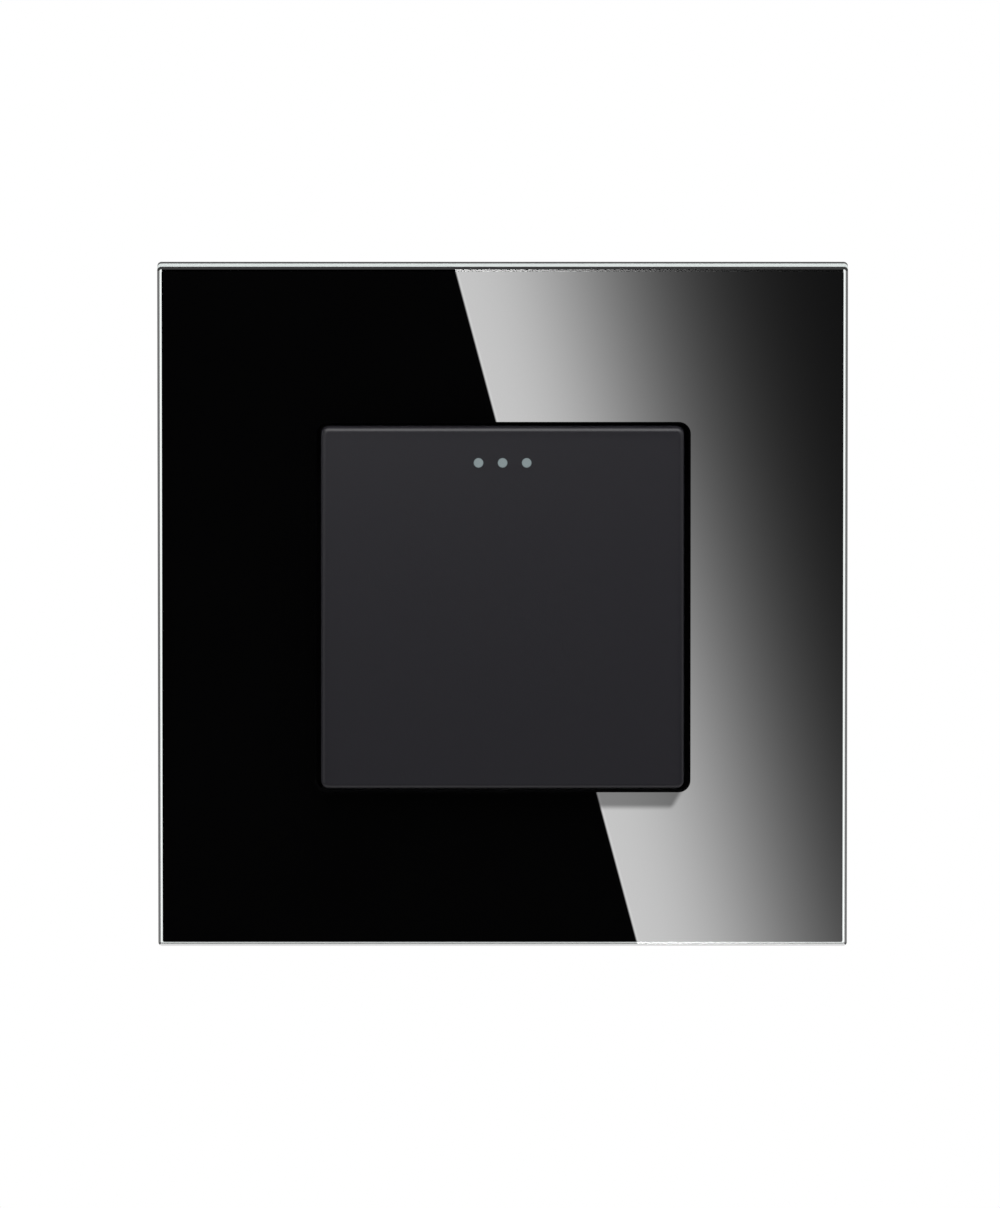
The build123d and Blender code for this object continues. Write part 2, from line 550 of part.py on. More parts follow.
# Rocker key: shallow drafted cap with three bores for the light guide, clips for the cradle
# and ribs that seat on it.
HOOK_X = 10.0
HOOK_WALL = 1.2
HOOK_WIDTH = 6.0
HOOK_BARB = 0.6
HOOK_LEAD = 1.05
HOOK_PLAY = 0.05
KEY_RIB = 0.9
KEY_RIB_SPACING = (25.0, 17.0)
GUIDE_SOCKET = (11.4, 4.8)
GUIDE_SOCKET_BORE = (9.4, 3.2)
GUIDE_SOCKET_DEPTH = 1.6
HOLE_OVERRUN = 0.5
with BuildPart() as rocker_key:
    with BuildSketch(ROCKER.offset(KEY_FACE)):
        RectangleRounded(KEY, KEY, KEY_CORNER)
    extrude(amount=-(KEY_FACE - KEY_SKIRT_END), taper=-KEY_DRAFT)
    key_front = faces().sort_by(ROCKER_AXIS)[-1]
    fillet(key_front.edges(), KEY_EDGE)
    key_back = faces().sort_by(ROCKER_AXIS)[0]
    offset(amount=-KEY_WALL, openings=key_back)
    # seating ribs, two each way, that end on the cradle's plate
    with BuildSketch(ROCKER.offset(CRADLE_FRONT)):
        with GridLocations(0, KEY_RIB_SPACING[1], 1, 2):
            Rectangle(KEY - 2 * KEY_WALL, KEY_RIB)
        with GridLocations(KEY_RIB_SPACING[0], 0, 2, 1):
            Rectangle(KEY_RIB, KEY - 2 * KEY_WALL)
    extrude(amount=KEY_INNER - CRADLE_FRONT)
    # socket for the foot of the light guide
    with BuildSketch(ROCKER.offset(KEY_INNER - GUIDE_SOCKET_DEPTH)):
        with Locations((0, DOT_HEIGHT)):
            Rectangle(*GUIDE_SOCKET)
            Rectangle(*GUIDE_SOCKET_BORE, mode=Mode.SUBTRACT)
    extrude(amount=GUIDE_SOCKET_DEPTH)
    with BuildSketch(ROCKER.offset(KEY_FACE)):
        with Locations((0, DOT_HEIGHT)):
            with GridLocations(DOT_PITCH, 0, 3, 1):
                Circle(DOT_RADIUS)
    extrude(amount=-KEY_WALL - HOLE_OVERRUN, mode=Mode.SUBTRACT)
    # four hooks that snap round the edges of the cradle
    hook_w = CRADLE_PLATE[1] / 2 + HOOK_PLAY
    barb = CRADLE_BACK - HOOK_PLAY
    with BuildSketch(Plane(ROCKER.origin, x_dir=ROCKER.y_dir, z_dir=(1, 0, 0))) as hook:
        with BuildLine():
            Polyline(
                (hook_w, KEY_INNER),
                (hook_w, barb),
                (hook_w - HOOK_BARB, barb),
                (hook_w, barb - HOOK_LEAD),
                (hook_w + HOOK_WALL, barb - HOOK_LEAD),
                (hook_w + HOOK_WALL, KEY_INNER),
                close=True,
            )
        make_face()
        mirror(about=Plane.YZ)
    for side in (-1, 1):
        hook_start = Location((side * HOOK_X - HOOK_WIDTH / 2, 0, 0))
        extrude(hook.sketch.moved(hook_start), amount=HOOK_WIDTH)

# Light guide: clear foot with three pins that end flush in the key, and a stem towards the
# lamp.
GUIDE_FOOT = (9.2, 3.0)
GUIDE_FOOT_THICKNESS = 1.2
GUIDE_STEM = (7.6, 2.4)
GUIDE_STEM_END = 1.2
GUIDE_STEM_TAPER = 4.0
PIN_PLAY = 0.03
PIN_RECESS = 0.05
PIN_BITE = 0.5
with BuildPart() as light_guide:
    with BuildSketch(ROCKER.offset(KEY_INNER - GUIDE_FOOT_THICKNESS)):
        with Locations((0, DOT_HEIGHT)):
            Rectangle(*GUIDE_FOOT)
    extrude(amount=GUIDE_FOOT_THICKNESS)
    with BuildSketch(ROCKER.offset(KEY_INNER - PIN_BITE)):
        with Locations((0, DOT_HEIGHT)):
            with GridLocations(DOT_PITCH, 0, 3, 1):
                Circle(DOT_RADIUS - PIN_PLAY)
    extrude(amount=PIN_BITE + KEY_WALL - PIN_RECESS)
    with BuildSketch(ROCKER.offset(KEY_INNER - GUIDE_FOOT_THICKNESS)):
        with Locations((0, DOT_HEIGHT)):
            Rectangle(*GUIDE_STEM)
    stem_length = KEY_INNER - GUIDE_FOOT_THICKNESS - GUIDE_STEM_END
    extrude(amount=-stem_length, taper=GUIDE_STEM_TAPER)

# Rocker cradle: plate under the key, two arms with trunnions and the tube for the plunger.
CRADLE_CORNER = 1.0
CRADLE_WINDOW = (9.0, 6.0)
CRADLE_WINDOW_SPACING = (17.0, 15.0)
CRADLE_ARM = (1.8, 8.0)
CRADLE_ARM_END = -2.0
TRUNNION_BITE = 0.2
GUSSET_REACH = 12.0
GUSSET_FOOT = -3.0
GUSSET_BITE = 0.5
GUSSET_HALF_WALL = 0.6
with BuildPart() as rocker_cradle:
    with BuildSketch(ROCKER.offset(CRADLE_BACK)):
        RectangleRounded(*CRADLE_PLATE, CRADLE_CORNER)
        with GridLocations(*CRADLE_WINDOW_SPACING, 2, 2):
            Rectangle(*CRADLE_WINDOW, mode=Mode.SUBTRACT)
    extrude(amount=CRADLE_FRONT - CRADLE_BACK)
    with BuildSketch(ROCKER.offset(CRADLE_ARM_END)):
        with GridLocations(CRADLE_PLATE[0] - CRADLE_ARM[0], 0, 2, 1):
            Rectangle(*CRADLE_ARM)
    extrude(amount=CRADLE_BACK - CRADLE_ARM_END)
    trunnion_length = TRUNNION_END - CRADLE_PLATE[0] / 2
    for side in (-1, 1):
        with BuildSketch(Plane.YZ.offset(side * (CRADLE_PLATE[0] / 2 - TRUNNION_BITE))):
            with Locations((-PIVOT_HEIGHT, 0)):
                Circle(TRUNNION_RADIUS)
        extrude(amount=side * (trunnion_length + TRUNNION_BITE))
    with BuildSketch(ROCKER.offset(TUBE_END)):
        Circle(TUBE_RADIUS)
    extrude(amount=CRADLE_BACK - TUBE_END)
    # gussets between the tube and the plate
    with BuildSketch(ROCKER_SECTION):
        with BuildLine():
            Polyline(
                (TUBE_RADIUS - GUSSET_BITE, CRADLE_BACK),
                (GUSSET_REACH, CRADLE_BACK),
                (TUBE_RADIUS - GUSSET_BITE, GUSSET_FOOT),
                close=True,
            )
        make_face()
        mirror(about=Plane.YZ)
    extrude(amount=GUSSET_HALF_WALL, both=True)
    with BuildSketch(ROCKER.offset(TUBE_END)):
        Circle(TUBE_BORE)
    extrude(amount=TUBE_ROOF - TUBE_END, mode=Mode.SUBTRACT)

# Plunger: turned nylon pin, hollow for the spring, with a round nose on the seesaw.
with BuildPart() as plunger:
    with BuildSketch(ROCKER_SECTION):
        with BuildLine():
            Polyline(
                (PLUNGER_BORE, PLUNGER_TOP),
                (PLUNGER_RADIUS, PLUNGER_TOP),
                (PLUNGER_RADIUS, PLUNGER_SHOULDER),
                (TIP_RADIUS, TIP_CENTRE),
            )
            CenterArc((0, TIP_CENTRE), TIP_RADIUS, 0, -90)
            Polyline(
                (0, TIP_CENTRE - TIP_RADIUS),
                (0, PLUNGER_SEAT),
                (PLUNGER_BORE, PLUNGER_SEAT),
                (PLUNGER_BORE, PLUNGER_TOP),
            )
        make_face()
    revolve(axis=ROCKER_AXIS)

# Plunger spring: one length of wire wound between the tube's roof and the plunger's seat.
spring_length = TUBE_ROOF - PLUNGER_SEAT - 2 * (SPRING_WIRE + SPRING_PLAY)
spring_gap = spring_length / SPRING_TURNS - 2 * SPRING_WIRE
print("gap between the spring's turns", round(spring_gap, 2))
with BuildPart() as plunger_spring:
    with BuildLine() as coil:
        Helix(
            spring_length / SPRING_TURNS,
            spring_length,
            SPRING_RADIUS,
            center=ROCKER.offset(PLUNGER_SEAT + SPRING_WIRE + SPRING_PLAY).origin,
            direction=ROCKER.z_dir,
        )
    with BuildSketch(coil.line ^ 0):
        RegularPolygon(SPRING_WIRE, 4)
    sweep(is_frenet=True)

# Seesaw contact: the moving blade, rocking on a round cross rib whose ends lie in the notches.
with BuildPart() as seesaw_contact:
    with BuildSketch(SEESAW_PLANE):
        RectangleRounded(*SEESAW, SEESAW_CORNER)
    extrude(amount=STRIP)
    with BuildSketch(Plane.YZ):
        with Locations((-SEESAW_AXIS, 0)):
            Circle(SEESAW_EAR)
    extrude(amount=CHEEK_INNER + STRIP + SEESAW_EAR_OVERHANG, both=True)

# Moving contact tips: silver discs on the back of the blade.
with BuildPart() as moving_contact_tips:
    with BuildSketch(SEESAW_PLANE):
        with GridLocations(0, 2 * CONTACT_Z, 1, 2):
            Circle(MOVING_TIP_RADIUS)
    extrude(amount=-TIP_HEIGHT)

# Locator lamp: a small board on the flange with a lamp chip under the guide's stem, its
# series resistor and diode, and two leads down to the terminal strips.
BOARD_FRONT = FLANGE_TOP + BOARD_THICKNESS
with BuildPart() as lamp_board:
    with BuildSketch(WALL.offset(FLANGE_TOP)):
        with Locations((0, BOARD_Z)):
            Rectangle(*BOARD)
        with Locations((LEAD_X, LEAD_Z), (-LEAD_X, LEAD_Z)):
            Circle(LEAD_RADIUS + LEAD_HOLE_PLAY, mode=Mode.SUBTRACT)
    extrude(amount=BOARD_THICKNESS)
with BuildPart() as lamp_chip:
    with BuildSketch(WALL.offset(BOARD_FRONT)):
        with Locations((0, DOT_HEIGHT)):
            Rectangle(CHIP_BODY[0], CHIP_BODY[1])
    extrude(amount=CHIP_BODY[2])
    with BuildSketch(WALL.offset(BOARD_FRONT + CHIP_BODY[2])):
        with Locations((0, DOT_HEIGHT)):
            Rectangle(CHIP_LENS[0], CHIP_LENS[1])
    extrude(amount=CHIP_LENS[2], taper=CHIP_LENS_TAPER)
with BuildPart() as lamp_resistor:
    with BuildSketch(WALL.offset(BOARD_FRONT)):
        with Locations(SMALL_CHIPS):
            Rectangle(RESISTOR[0], RESISTOR[1])
    extrude(amount=RESISTOR[2])
with BuildPart() as lamp_diode:
    with BuildSketch(WALL.offset(BOARD_FRONT)):
        with Locations((-SMALL_CHIPS[0], SMALL_CHIPS[1])):
            Rectangle(DIODE[0], DIODE[1])
    extrude(amount=DIODE[2])
with BuildPart() as lamp_leads:
    with BuildSketch(WALL.offset(DECK + STRIP)):
        with Locations((LEAD_X, LEAD_Z), (-LEAD_X, LEAD_Z)):
            Circle(LEAD_RADIUS)
    extrude(amount=BOARD_FRONT + LEAD_STUB - DECK - STRIP)

# Every piece goes to its own file under its own name.
pieces = {
    "glass_panel": glass_panel,
    "bonding_pad": bonding_pad,
    "carrier_frame": carrier_frame,
    "mounting_yoke": mounting_yoke,
    "bearing_housing": bearing_housing,
    "contact_base": contact_base,
    "common_plate": common_plate,
    "upper_contact_plate": upper_contact_plate,
    "lower_contact_plate": lower_contact_plate,
    "fixed_contact_tips": fixed_contact_tips,
    "terminal_pillars": terminal_pillars,
    "terminal_screws": terminal_screws,
    "rocker_key": rocker_key,
    "light_guide": light_guide,
    "rocker_cradle": rocker_cradle,
    "plunger": plunger,
    "plunger_spring": plunger_spring,
    "seesaw_contact": seesaw_contact,
    "moving_contact_tips": moving_contact_tips,
    "lamp_board": lamp_board,
    "lamp_chip": lamp_chip,
    "lamp_resistor": lamp_resistor,
    "lamp_diode": lamp_diode,
    "lamp_leads": lamp_leads,
}
os.makedirs("parts", exist_ok=True)
for name, piece in pieces.items():
    piece.part.label = name
    export_step(piece.part, f"parts/{name}.step")
    print(name, "solids", len(piece.part.solids()), "volume", round(piece.part.volume, 1))
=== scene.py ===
import bpy
import bmesh
import json
from math import cos, floor, pi, radians, sin
from mathutils import Matrix, Vector


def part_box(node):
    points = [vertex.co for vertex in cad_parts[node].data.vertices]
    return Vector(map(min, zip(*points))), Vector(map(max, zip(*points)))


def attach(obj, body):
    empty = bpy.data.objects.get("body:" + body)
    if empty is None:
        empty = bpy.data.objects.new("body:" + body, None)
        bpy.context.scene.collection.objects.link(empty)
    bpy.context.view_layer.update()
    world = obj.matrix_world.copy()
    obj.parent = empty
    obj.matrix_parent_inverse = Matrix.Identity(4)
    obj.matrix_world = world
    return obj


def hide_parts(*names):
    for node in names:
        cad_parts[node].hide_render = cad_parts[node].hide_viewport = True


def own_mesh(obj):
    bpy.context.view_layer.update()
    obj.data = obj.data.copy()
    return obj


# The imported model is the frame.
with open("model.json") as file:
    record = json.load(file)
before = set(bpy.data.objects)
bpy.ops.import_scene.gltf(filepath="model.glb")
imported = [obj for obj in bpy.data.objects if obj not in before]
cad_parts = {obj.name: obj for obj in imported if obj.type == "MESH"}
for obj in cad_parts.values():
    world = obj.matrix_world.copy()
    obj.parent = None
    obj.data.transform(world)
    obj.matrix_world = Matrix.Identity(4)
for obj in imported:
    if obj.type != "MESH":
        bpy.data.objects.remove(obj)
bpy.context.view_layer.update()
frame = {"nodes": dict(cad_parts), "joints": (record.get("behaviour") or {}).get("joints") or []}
nodes = frame["nodes"]


# Contact base: the rear half of the mechanism, moulded in dark glass-filled nylon. Its skin
# has the fine spark-eroded grain of the tool, and a tone that drifts where the flow met.
def feed(tree, socket, value):
    # a socket takes a link or a plain value, and a colour is written as three numbers
    if isinstance(value, bpy.types.NodeSocket):
        tree.links.new(value, socket)
    elif socket.type == "RGBA":
        socket.default_value = (*value, 1.0)
    else:
        socket.default_value = value


def calc(tree, operation, *terms):
    node = tree.nodes.new("ShaderNodeMath")
    node.operation = operation
    for socket, term in zip(node.inputs, terms):
        feed(tree, socket, term)
    return node.outputs[0]


def ramp(tree, value, start, end):
    # 0 at start and 1 at end, eased between them
    node = tree.nodes.new("ShaderNodeMapRange")
    node.interpolation_type = "SMOOTHSTEP"
    feed(tree, node.inputs["Value"], value)
    feed(tree, node.inputs["From Min"], start)
    feed(tree, node.inputs["From Max"], end)
    return node.outputs[0]


def mix_colours(tree, factor, low, high, how="MIX"):
    node = tree.nodes.new("ShaderNodeMix")
    node.data_type = "RGBA"
    node.blend_type = how
    feed(tree, node.inputs["Factor"], factor)
    feed(tree, node.inputs["A"], low)
    feed(tree, node.inputs["B"], high)
    return node.outputs["Result"]


def noise(tree, vector, scale, detail=2.0, roughness=0.5):
    node = tree.nodes.new("ShaderNodeTexNoise")
    feed(tree, node.inputs["Vector"], vector)
    feed(tree, node.inputs["Scale"], scale)
    node.inputs["Detail"].default_value = detail
    node.inputs["Roughness"].default_value = roughness
    return node.outputs["Fac"]


def place_of(tree):
    # where on the piece: X to the right, Y into the wall, Z up, in metres
    return tree.nodes.new("ShaderNodeTexCoord").outputs["Object"]


def axes_of(tree):
    node = tree.nodes.new("ShaderNodeSeparateXYZ")
    tree.links.new(place_of(tree), node.inputs[0])
    return node.outputs


def stretched(tree, vector, *scale):
    node = tree.nodes.new("ShaderNodeMapping")
    node.inputs["Scale"].default_value = scale
    tree.links.new(vector, node.inputs["Vector"])
    return node.outputs[0]


def new_group(name, inputs, outputs):
    group = bpy.data.node_groups.new(name, "ShaderNodeTree")
    for label, value in inputs.items():
        socket = group.interface.new_socket(label, in_out="INPUT", socket_type="NodeSocketFloat")
        socket.default_value = value
    for label in outputs:
        group.interface.new_socket(label, in_out="OUTPUT", socket_type="NodeSocketFloat")
    given = group.nodes.new("NodeGroupInput").outputs
    out = group.nodes.new("NodeGroupOutput").inputs
    return group, given, out


def use_group(tree, group, **values):
    node = tree.nodes.new("ShaderNodeGroup")
    node.node_tree = group
    for label, value in values.items():
        feed(tree, node.inputs[label.replace("_", " ")], value)
    return node.outputs


def new_material(name, base, rough, metallic=0.0):
    material = bpy.data.materials.new(name)
    material.use_nodes = True
    shader = material.node_tree.nodes["Principled BSDF"]
    feed(material.node_tree, shader.inputs["Base Color"], base)
    shader.inputs["Roughness"].default_value = rough
    shader.inputs["Metallic"].default_value = metallic
    return material, material.node_tree, shader.inputs


def set_bump(tree, surface, height, depth):
    node = tree.nodes.new("ShaderNodeBump")
    node.inputs["Distance"].default_value = depth
    feed(tree, node.inputs["Height"], height)
    tree.links.new(node.outputs["Normal"], surface["Normal"])


def mould_grain_group():
    # erosion grain of the tool, slow drift of tone, and gloss that follows both a little
    defaults = {"Grain": 6000.0, "Drift": 0.2}
    group, given, out = new_group("mould grain", defaults, ("Height", "Tone", "Gloss"))
    place = place_of(group)
    fine = noise(group, place, given["Grain"], detail=3.0, roughness=0.6)
    slow = noise(group, place, 90.0)
    drift = calc(group, "MULTIPLY", calc(group, "SUBTRACT", slow, 0.5), given["Drift"])
    speck = calc(group, "MULTIPLY", calc(group, "SUBTRACT", fine, 0.5), 0.25)
    feed(group, out["Height"], fine)
    feed(group, out["Tone"], calc(group, "ADD", calc(group, "ADD", drift, speck), 1.0))
    feed(group, out["Gloss"], calc(group, "MULTIPLY_ADD", drift, -0.3, speck))
    return group


mould_grain = mould_grain_group()


def moulded(name, base, rough, grain=6000.0, depth=0.00002, drift=0.25):
    material, tree, surface = new_material(name, base, rough)
    skin = use_group(tree, mould_grain, Grain=grain, Drift=drift)
    tone = mix_colours(tree, 1.0, base, skin["Tone"], "MULTIPLY")
    feed(tree, surface["Base Color"], tone)
    feed(tree, surface["Roughness"], calc(tree, "ADD", skin["Gloss"], rough))
    set_bump(tree, surface, skin["Height"], depth)
    return material


def dress(node, material):
    # a node of the frame keeps its mesh and takes the material in its slot
    nodes[node].data.materials.clear()
    nodes[node].data.materials.append(material)


BASE_GREY = (0.046, 0.048, 0.052)
base_nylon = moulded("base nylon", BASE_GREY, rough=0.46, grain=4200.0, depth=0.00004)
dress("contact_base", base_nylon)


# Terminals: three sawn brass pillars and three stamped brass strips, with silver discs riveted
# to the strips. The brass has drawing lines and a tarnish that has begun in soft patches.
def drawn_metal_group():
    # streaks along the rolling direction, patches of tarnish or passivation, and their height
    defaults = {"Streaks": 5000.0, "Patches": 260.0}
    group, given, out = new_group("drawn metal", defaults, ("Streak", "Patch", "Height"))
    place = place_of(group)
    along_grain = stretched(group, place, 1.0, 1.0, 0.03)
    streak = noise(group, along_grain, given["Streaks"], detail=3.0, roughness=0.65)
    cloud = noise(group, place, given["Patches"], detail=4.0, roughness=0.6)
    patch = ramp(group, cloud, 0.38, 0.68)
    feed(group, out["Streak"], streak)
    feed(group, out["Patch"], patch)
    feed(group, out["Height"], calc(group, "MULTIPLY_ADD", patch, 0.15, streak))
    return group


drawn_metal = drawn_metal_group()
STREAK_TONE = 0.24
STREAK_GLOSS = 0.22
AGE_GLOSS = 0.12


def metal(name, base, aged, rough, streaks=5000.0, patches=260.0, ageing=0.5, depth=0.000004):
    material, tree, surface = new_material(name, base, rough, metallic=1.0)
    skin = use_group(tree, drawn_metal, Streaks=streaks, Patches=patches)
    age = calc(tree, "MULTIPLY", skin["Patch"], ageing)
    shade = mix_colours(tree, age, base, aged)
    grey = calc(tree, "MULTIPLY_ADD", skin["Streak"], STREAK_TONE, 1.0 - STREAK_TONE / 2)
    feed(tree, surface["Base Color"], mix_colours(tree, 1.0, shade, grey, "MULTIPLY"))
    dull = calc(tree, "MULTIPLY_ADD", skin["Streak"], STREAK_GLOSS, rough - STREAK_GLOSS / 2)
    feed(tree, surface["Roughness"], calc(tree, "MULTIPLY_ADD", age, AGE_GLOSS, dull))
    set_bump(tree, surface, skin["Height"], depth)
    return material


BRASS, TARNISHED_BRASS = (0.72, 0.54, 0.26), (0.45, 0.29, 0.12)
SILVER, TARNISHED_SILVER = (0.82, 0.81, 0.78), (0.55, 0.5, 0.42)
brass = metal("brass", BRASS, TARNISHED_BRASS, rough=0.3)
silver = metal("contact silver", SILVER, TARNISHED_SILVER, rough=0.32, patches=900.0)
for strip in ("common_plate", "upper_contact_plate", "lower_contact_plate", "terminal_pillars"):
    dress(strip, brass)
dress("fixed_contact_tips", silver)
dress("moving_contact_tips", silver)


# Clamping screws: zinc-plated cheese heads with a sawn slot, turned from bar, with a rolled
# thread on the shank. One is modelled and stands on three points, each turned a little.
def skin_rings(name, rings, loop=False, finishes=None):
    # a closed skin over rings of points; finishes gives a material slot to each strip
    mesh = bpy.data.meshes.new(name)
    form = bmesh.new()
    corners = [[form.verts.new(p) for p in ring] for ring in rings]
    following = corners[1:] + corners[:1] if loop else corners[1:]
    for strip, (low, high) in enumerate(zip(corners, following)):
        for i in range(len(low)):
            face = form.faces.new((low[i - 1], low[i], high[i], high[i - 1]))
            face.material_index = finishes[strip] if finishes else 0
    if not loop:
        form.faces.new(corners[0])
        form.faces.new(corners[-1])
    bmesh.ops.recalc_face_normals(form, faces=form.faces)
    form.to_mesh(mesh)
    form.free()
    return make_piece(name, mesh)


def make_piece(name, mesh, sharp=28.0):
    mesh.shade_smooth()
    mesh.set_sharp_from_angle(angle=radians(sharp))
    piece = bpy.data.objects.new(name, mesh)
    bpy.context.scene.collection.objects.link(piece)
    return piece


def making_tree(name, inputs):
    # an empty tree with its named inputs, for what is made by rule
    tree = bpy.data.node_groups.new(name, "GeometryNodeTree")
    for label, kind in inputs.items():
        tree.interface.new_socket(label, in_out="INPUT", socket_type="NodeSocket" + kind)
    tree.interface.new_socket("Made", in_out="OUTPUT", socket_type="NodeSocketGeometry")
    return tree, tree.nodes.new("NodeGroupInput").outputs


def close_tree(tree, made, finish):
    # what the tree makes becomes one mesh and takes its finish
    whole = tree.nodes.new("GeometryNodeRealizeInstances")
    finished = tree.nodes.new("GeometryNodeSetMaterial")
    feed(tree, whole.inputs[0], made)
    feed(tree, finished.inputs["Geometry"], whole.outputs[0])
    feed(tree, finished.inputs["Material"], finish)
    feed(tree, tree.nodes.new("NodeGroupOutput").inputs[0], finished.outputs[0])
    return tree


def any_between(tree, low, high, seed):
    # a number of its own for each point
    node = tree.nodes.new("FunctionNodeRandomValue")
    feed(tree, node.inputs[2], low)
    feed(tree, node.inputs[3], high)
    feed(tree, node.inputs["Seed"], seed)
    return node.outputs[1]


def repeat_tree():
    # copies of a pattern on points, each turned about Y by up to Turn either way
    tree, given = making_tree("pattern on points", {
        "Points": "Geometry", "Pattern": "Object", "Finish": "Material",
        "Turn": "Float", "Size spread": "Float", "Seed": "Int",
    })
    pattern = tree.nodes.new("GeometryNodeObjectInfo")
    pattern.inputs["As Instance"].default_value = True
    feed(tree, pattern.inputs["Object"], given["Pattern"])
    backwards = calc(tree, "MULTIPLY", given["Turn"], -1.0)
    turn = tree.nodes.new("ShaderNodeCombineXYZ")
    feed(tree, turn.inputs["Y"], any_between(tree, backwards, given["Turn"], given["Seed"]))
    smallest = calc(tree, "SUBTRACT", 1.0, given["Size spread"])
    largest = calc(tree, "ADD", 1.0, given["Size spread"])
    stand = tree.nodes.new("GeometryNodeInstanceOnPoints")
    feed(tree, stand.inputs["Points"], given["Points"])
    feed(tree, stand.inputs["Instance"], pattern.outputs["Geometry"])
    feed(tree, stand.inputs["Rotation"], turn.outputs[0])
    feed(tree, stand.inputs["Scale"], any_between(tree, smallest, largest, given["Seed"]))
    return close_tree(tree, stand.outputs[0], given["Finish"])


pattern_on_points = repeat_tree()


def run_tree(name, tree, values, points=()):
    # the tree runs once, and its result becomes the plain mesh of one piece
    mesh = bpy.data.meshes.new(name)
    mesh.from_pydata(points, [], [])
    piece = bpy.data.objects.new(name, mesh)
    bpy.context.scene.collection.objects.link(piece)
    modifier = piece.modifiers.new("making", "NODES")
    modifier.node_group = tree
    for socket in tree.interface.items_tree:
        if socket.name in values:
            modifier[socket.identifier] = values[socket.name]
    made = piece.evaluated_get(bpy.context.evaluated_depsgraph_get())
    piece.data = bpy.data.meshes.new_from_object(made)
    piece.modifiers.clear()
    return piece


def repeat(name, pattern, points, finish, turn=0.0, spread=0.0, seed=1):
    pattern.data.materials.append(finish)
    piece = run_tree(name, pattern_on_points, {
        "Pattern": pattern, "Finish": finish, "Turn": turn, "Size spread": spread, "Seed": seed,
    }, points)
    bpy.data.objects.remove(pattern)
    return piece


SCREW_SIDES = 32
HEAD_RADIUS = 0.0025
HEAD_HEIGHT = 0.0018
HEAD_BEVEL = 0.00025
SLOT_HALF = 0.00045
SLOT_DEPTH = 0.001
THREAD_RADIUS = 0.0017
THREAD_DEPTH = 0.00022
THREAD_PITCH = 0.0006
THREAD_STEPS = 6
screws_low, screws_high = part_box("terminal_screws")
head_front = screws_high.y - HEAD_HEIGHT
shank_length = head_front - screws_low.y


def circle(radius, y, sides=SCREW_SIDES):
    return [
        Vector((radius * cos(2 * pi * i / sides), y, radius * sin(2 * pi * i / sides)))
        for i in range(sides)
    ]


def thread_ring(y):
    # the crest runs round as the height climbs, one pitch to a turn
    ring = []
    for i in range(SCREW_SIDES):
        phase = y / THREAD_PITCH - i / SCREW_SIDES
        crest = abs(2 * (phase - floor(phase)) - 1)
        run_out = min(1.0, (y + shank_length) / THREAD_PITCH, -y / THREAD_PITCH)
        radius = THREAD_RADIUS - THREAD_DEPTH * (1 - crest * max(run_out, 0.0))
        angle = 2 * pi * i / SCREW_SIDES
        ring.append(Vector((radius * cos(angle), y, radius * sin(angle))))
    return ring


thread_rows = round(shank_length / THREAD_PITCH * THREAD_STEPS)
screw_rings = [
    thread_ring(shank_length * (row / thread_rows - 1)) for row in range(thread_rows + 1)
]
screw_rings += [
    circle(HEAD_RADIUS - HEAD_BEVEL / 2, 0.0),
    circle(HEAD_RADIUS, HEAD_BEVEL / 2),
    circle(HEAD_RADIUS, HEAD_HEIGHT - HEAD_BEVEL),
    circle(HEAD_RADIUS - HEAD_BEVEL, HEAD_HEIGHT),
]
screw_form = skin_rings("screw form", screw_rings)
cutter_mesh = bpy.data.meshes.new("slot")
cutter_form = bmesh.new()
bmesh.ops.create_cube(cutter_form, size=1.0)
cutter_size = (3 * HEAD_RADIUS, 2 * SLOT_DEPTH, 2 * SLOT_HALF)
bmesh.ops.scale(cutter_form, vec=cutter_size, verts=cutter_form.verts)
bmesh.ops.translate(cutter_form, vec=(0, HEAD_HEIGHT, 0), verts=cutter_form.verts)
cutter_form.to_mesh(cutter_mesh)
cutter_form.free()
cutter = make_piece("slot", cutter_mesh)
cut = screw_form.modifiers.new("slot", "BOOLEAN")
cut.operation = "DIFFERENCE"
cut.object = cutter
cut_mesh = bpy.data.meshes.new_from_object(
    screw_form.evaluated_get(bpy.context.evaluated_depsgraph_get())
)
bpy.data.objects.remove(screw_form)
bpy.data.objects.remove(cutter)
ZINC, DULLED_ZINC = (0.66, 0.67, 0.68), (0.5, 0.51, 0.5)
zinc = metal("zinc plate", ZINC, DULLED_ZINC, rough=0.34, patches=420.0, ageing=0.7)
screw_x = screws_high.x - HEAD_RADIUS
screw_z = screws_high.z - HEAD_RADIUS
screw_sides = ((-1, 1), (1, 1), (1, -1))
clamp_screws = repeat(
    "clamp_screws",
    make_piece("screw form", cut_mesh),
    [(a * screw_x, head_front, b * screw_z) for a, b in screw_sides],
    zinc,
    turn=1.2,
    seed=4,
)
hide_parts("terminal_screws")
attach(clamp_screws, "chassis")

# Seesaw contact: a springy copper-alloy blade with its rocking rib pressed across it. It is
# blanked from rolled strip, so the grain runs along it.
BRONZE, DARKENED_BRONZE = (0.72, 0.44, 0.27), (0.46, 0.24, 0.13)
bronze = metal("contact bronze", BRONZE, DARKENED_BRONZE, rough=0.28, streaks=6500.0)
dress("seesaw_contact", bronze)

# Bearing housing: the front half of the mechanism, moulded in light grey plastic. Its tool is
# eroded more finely than the base's, and the tone of its skin drifts less.
HOUSING_GREY = (0.6, 0.6, 0.58)
dress(
    "bearing_housing",
    moulded("housing plastic", HOUSING_GREY, rough=0.42, grain=5200.0, drift=0.12),
)


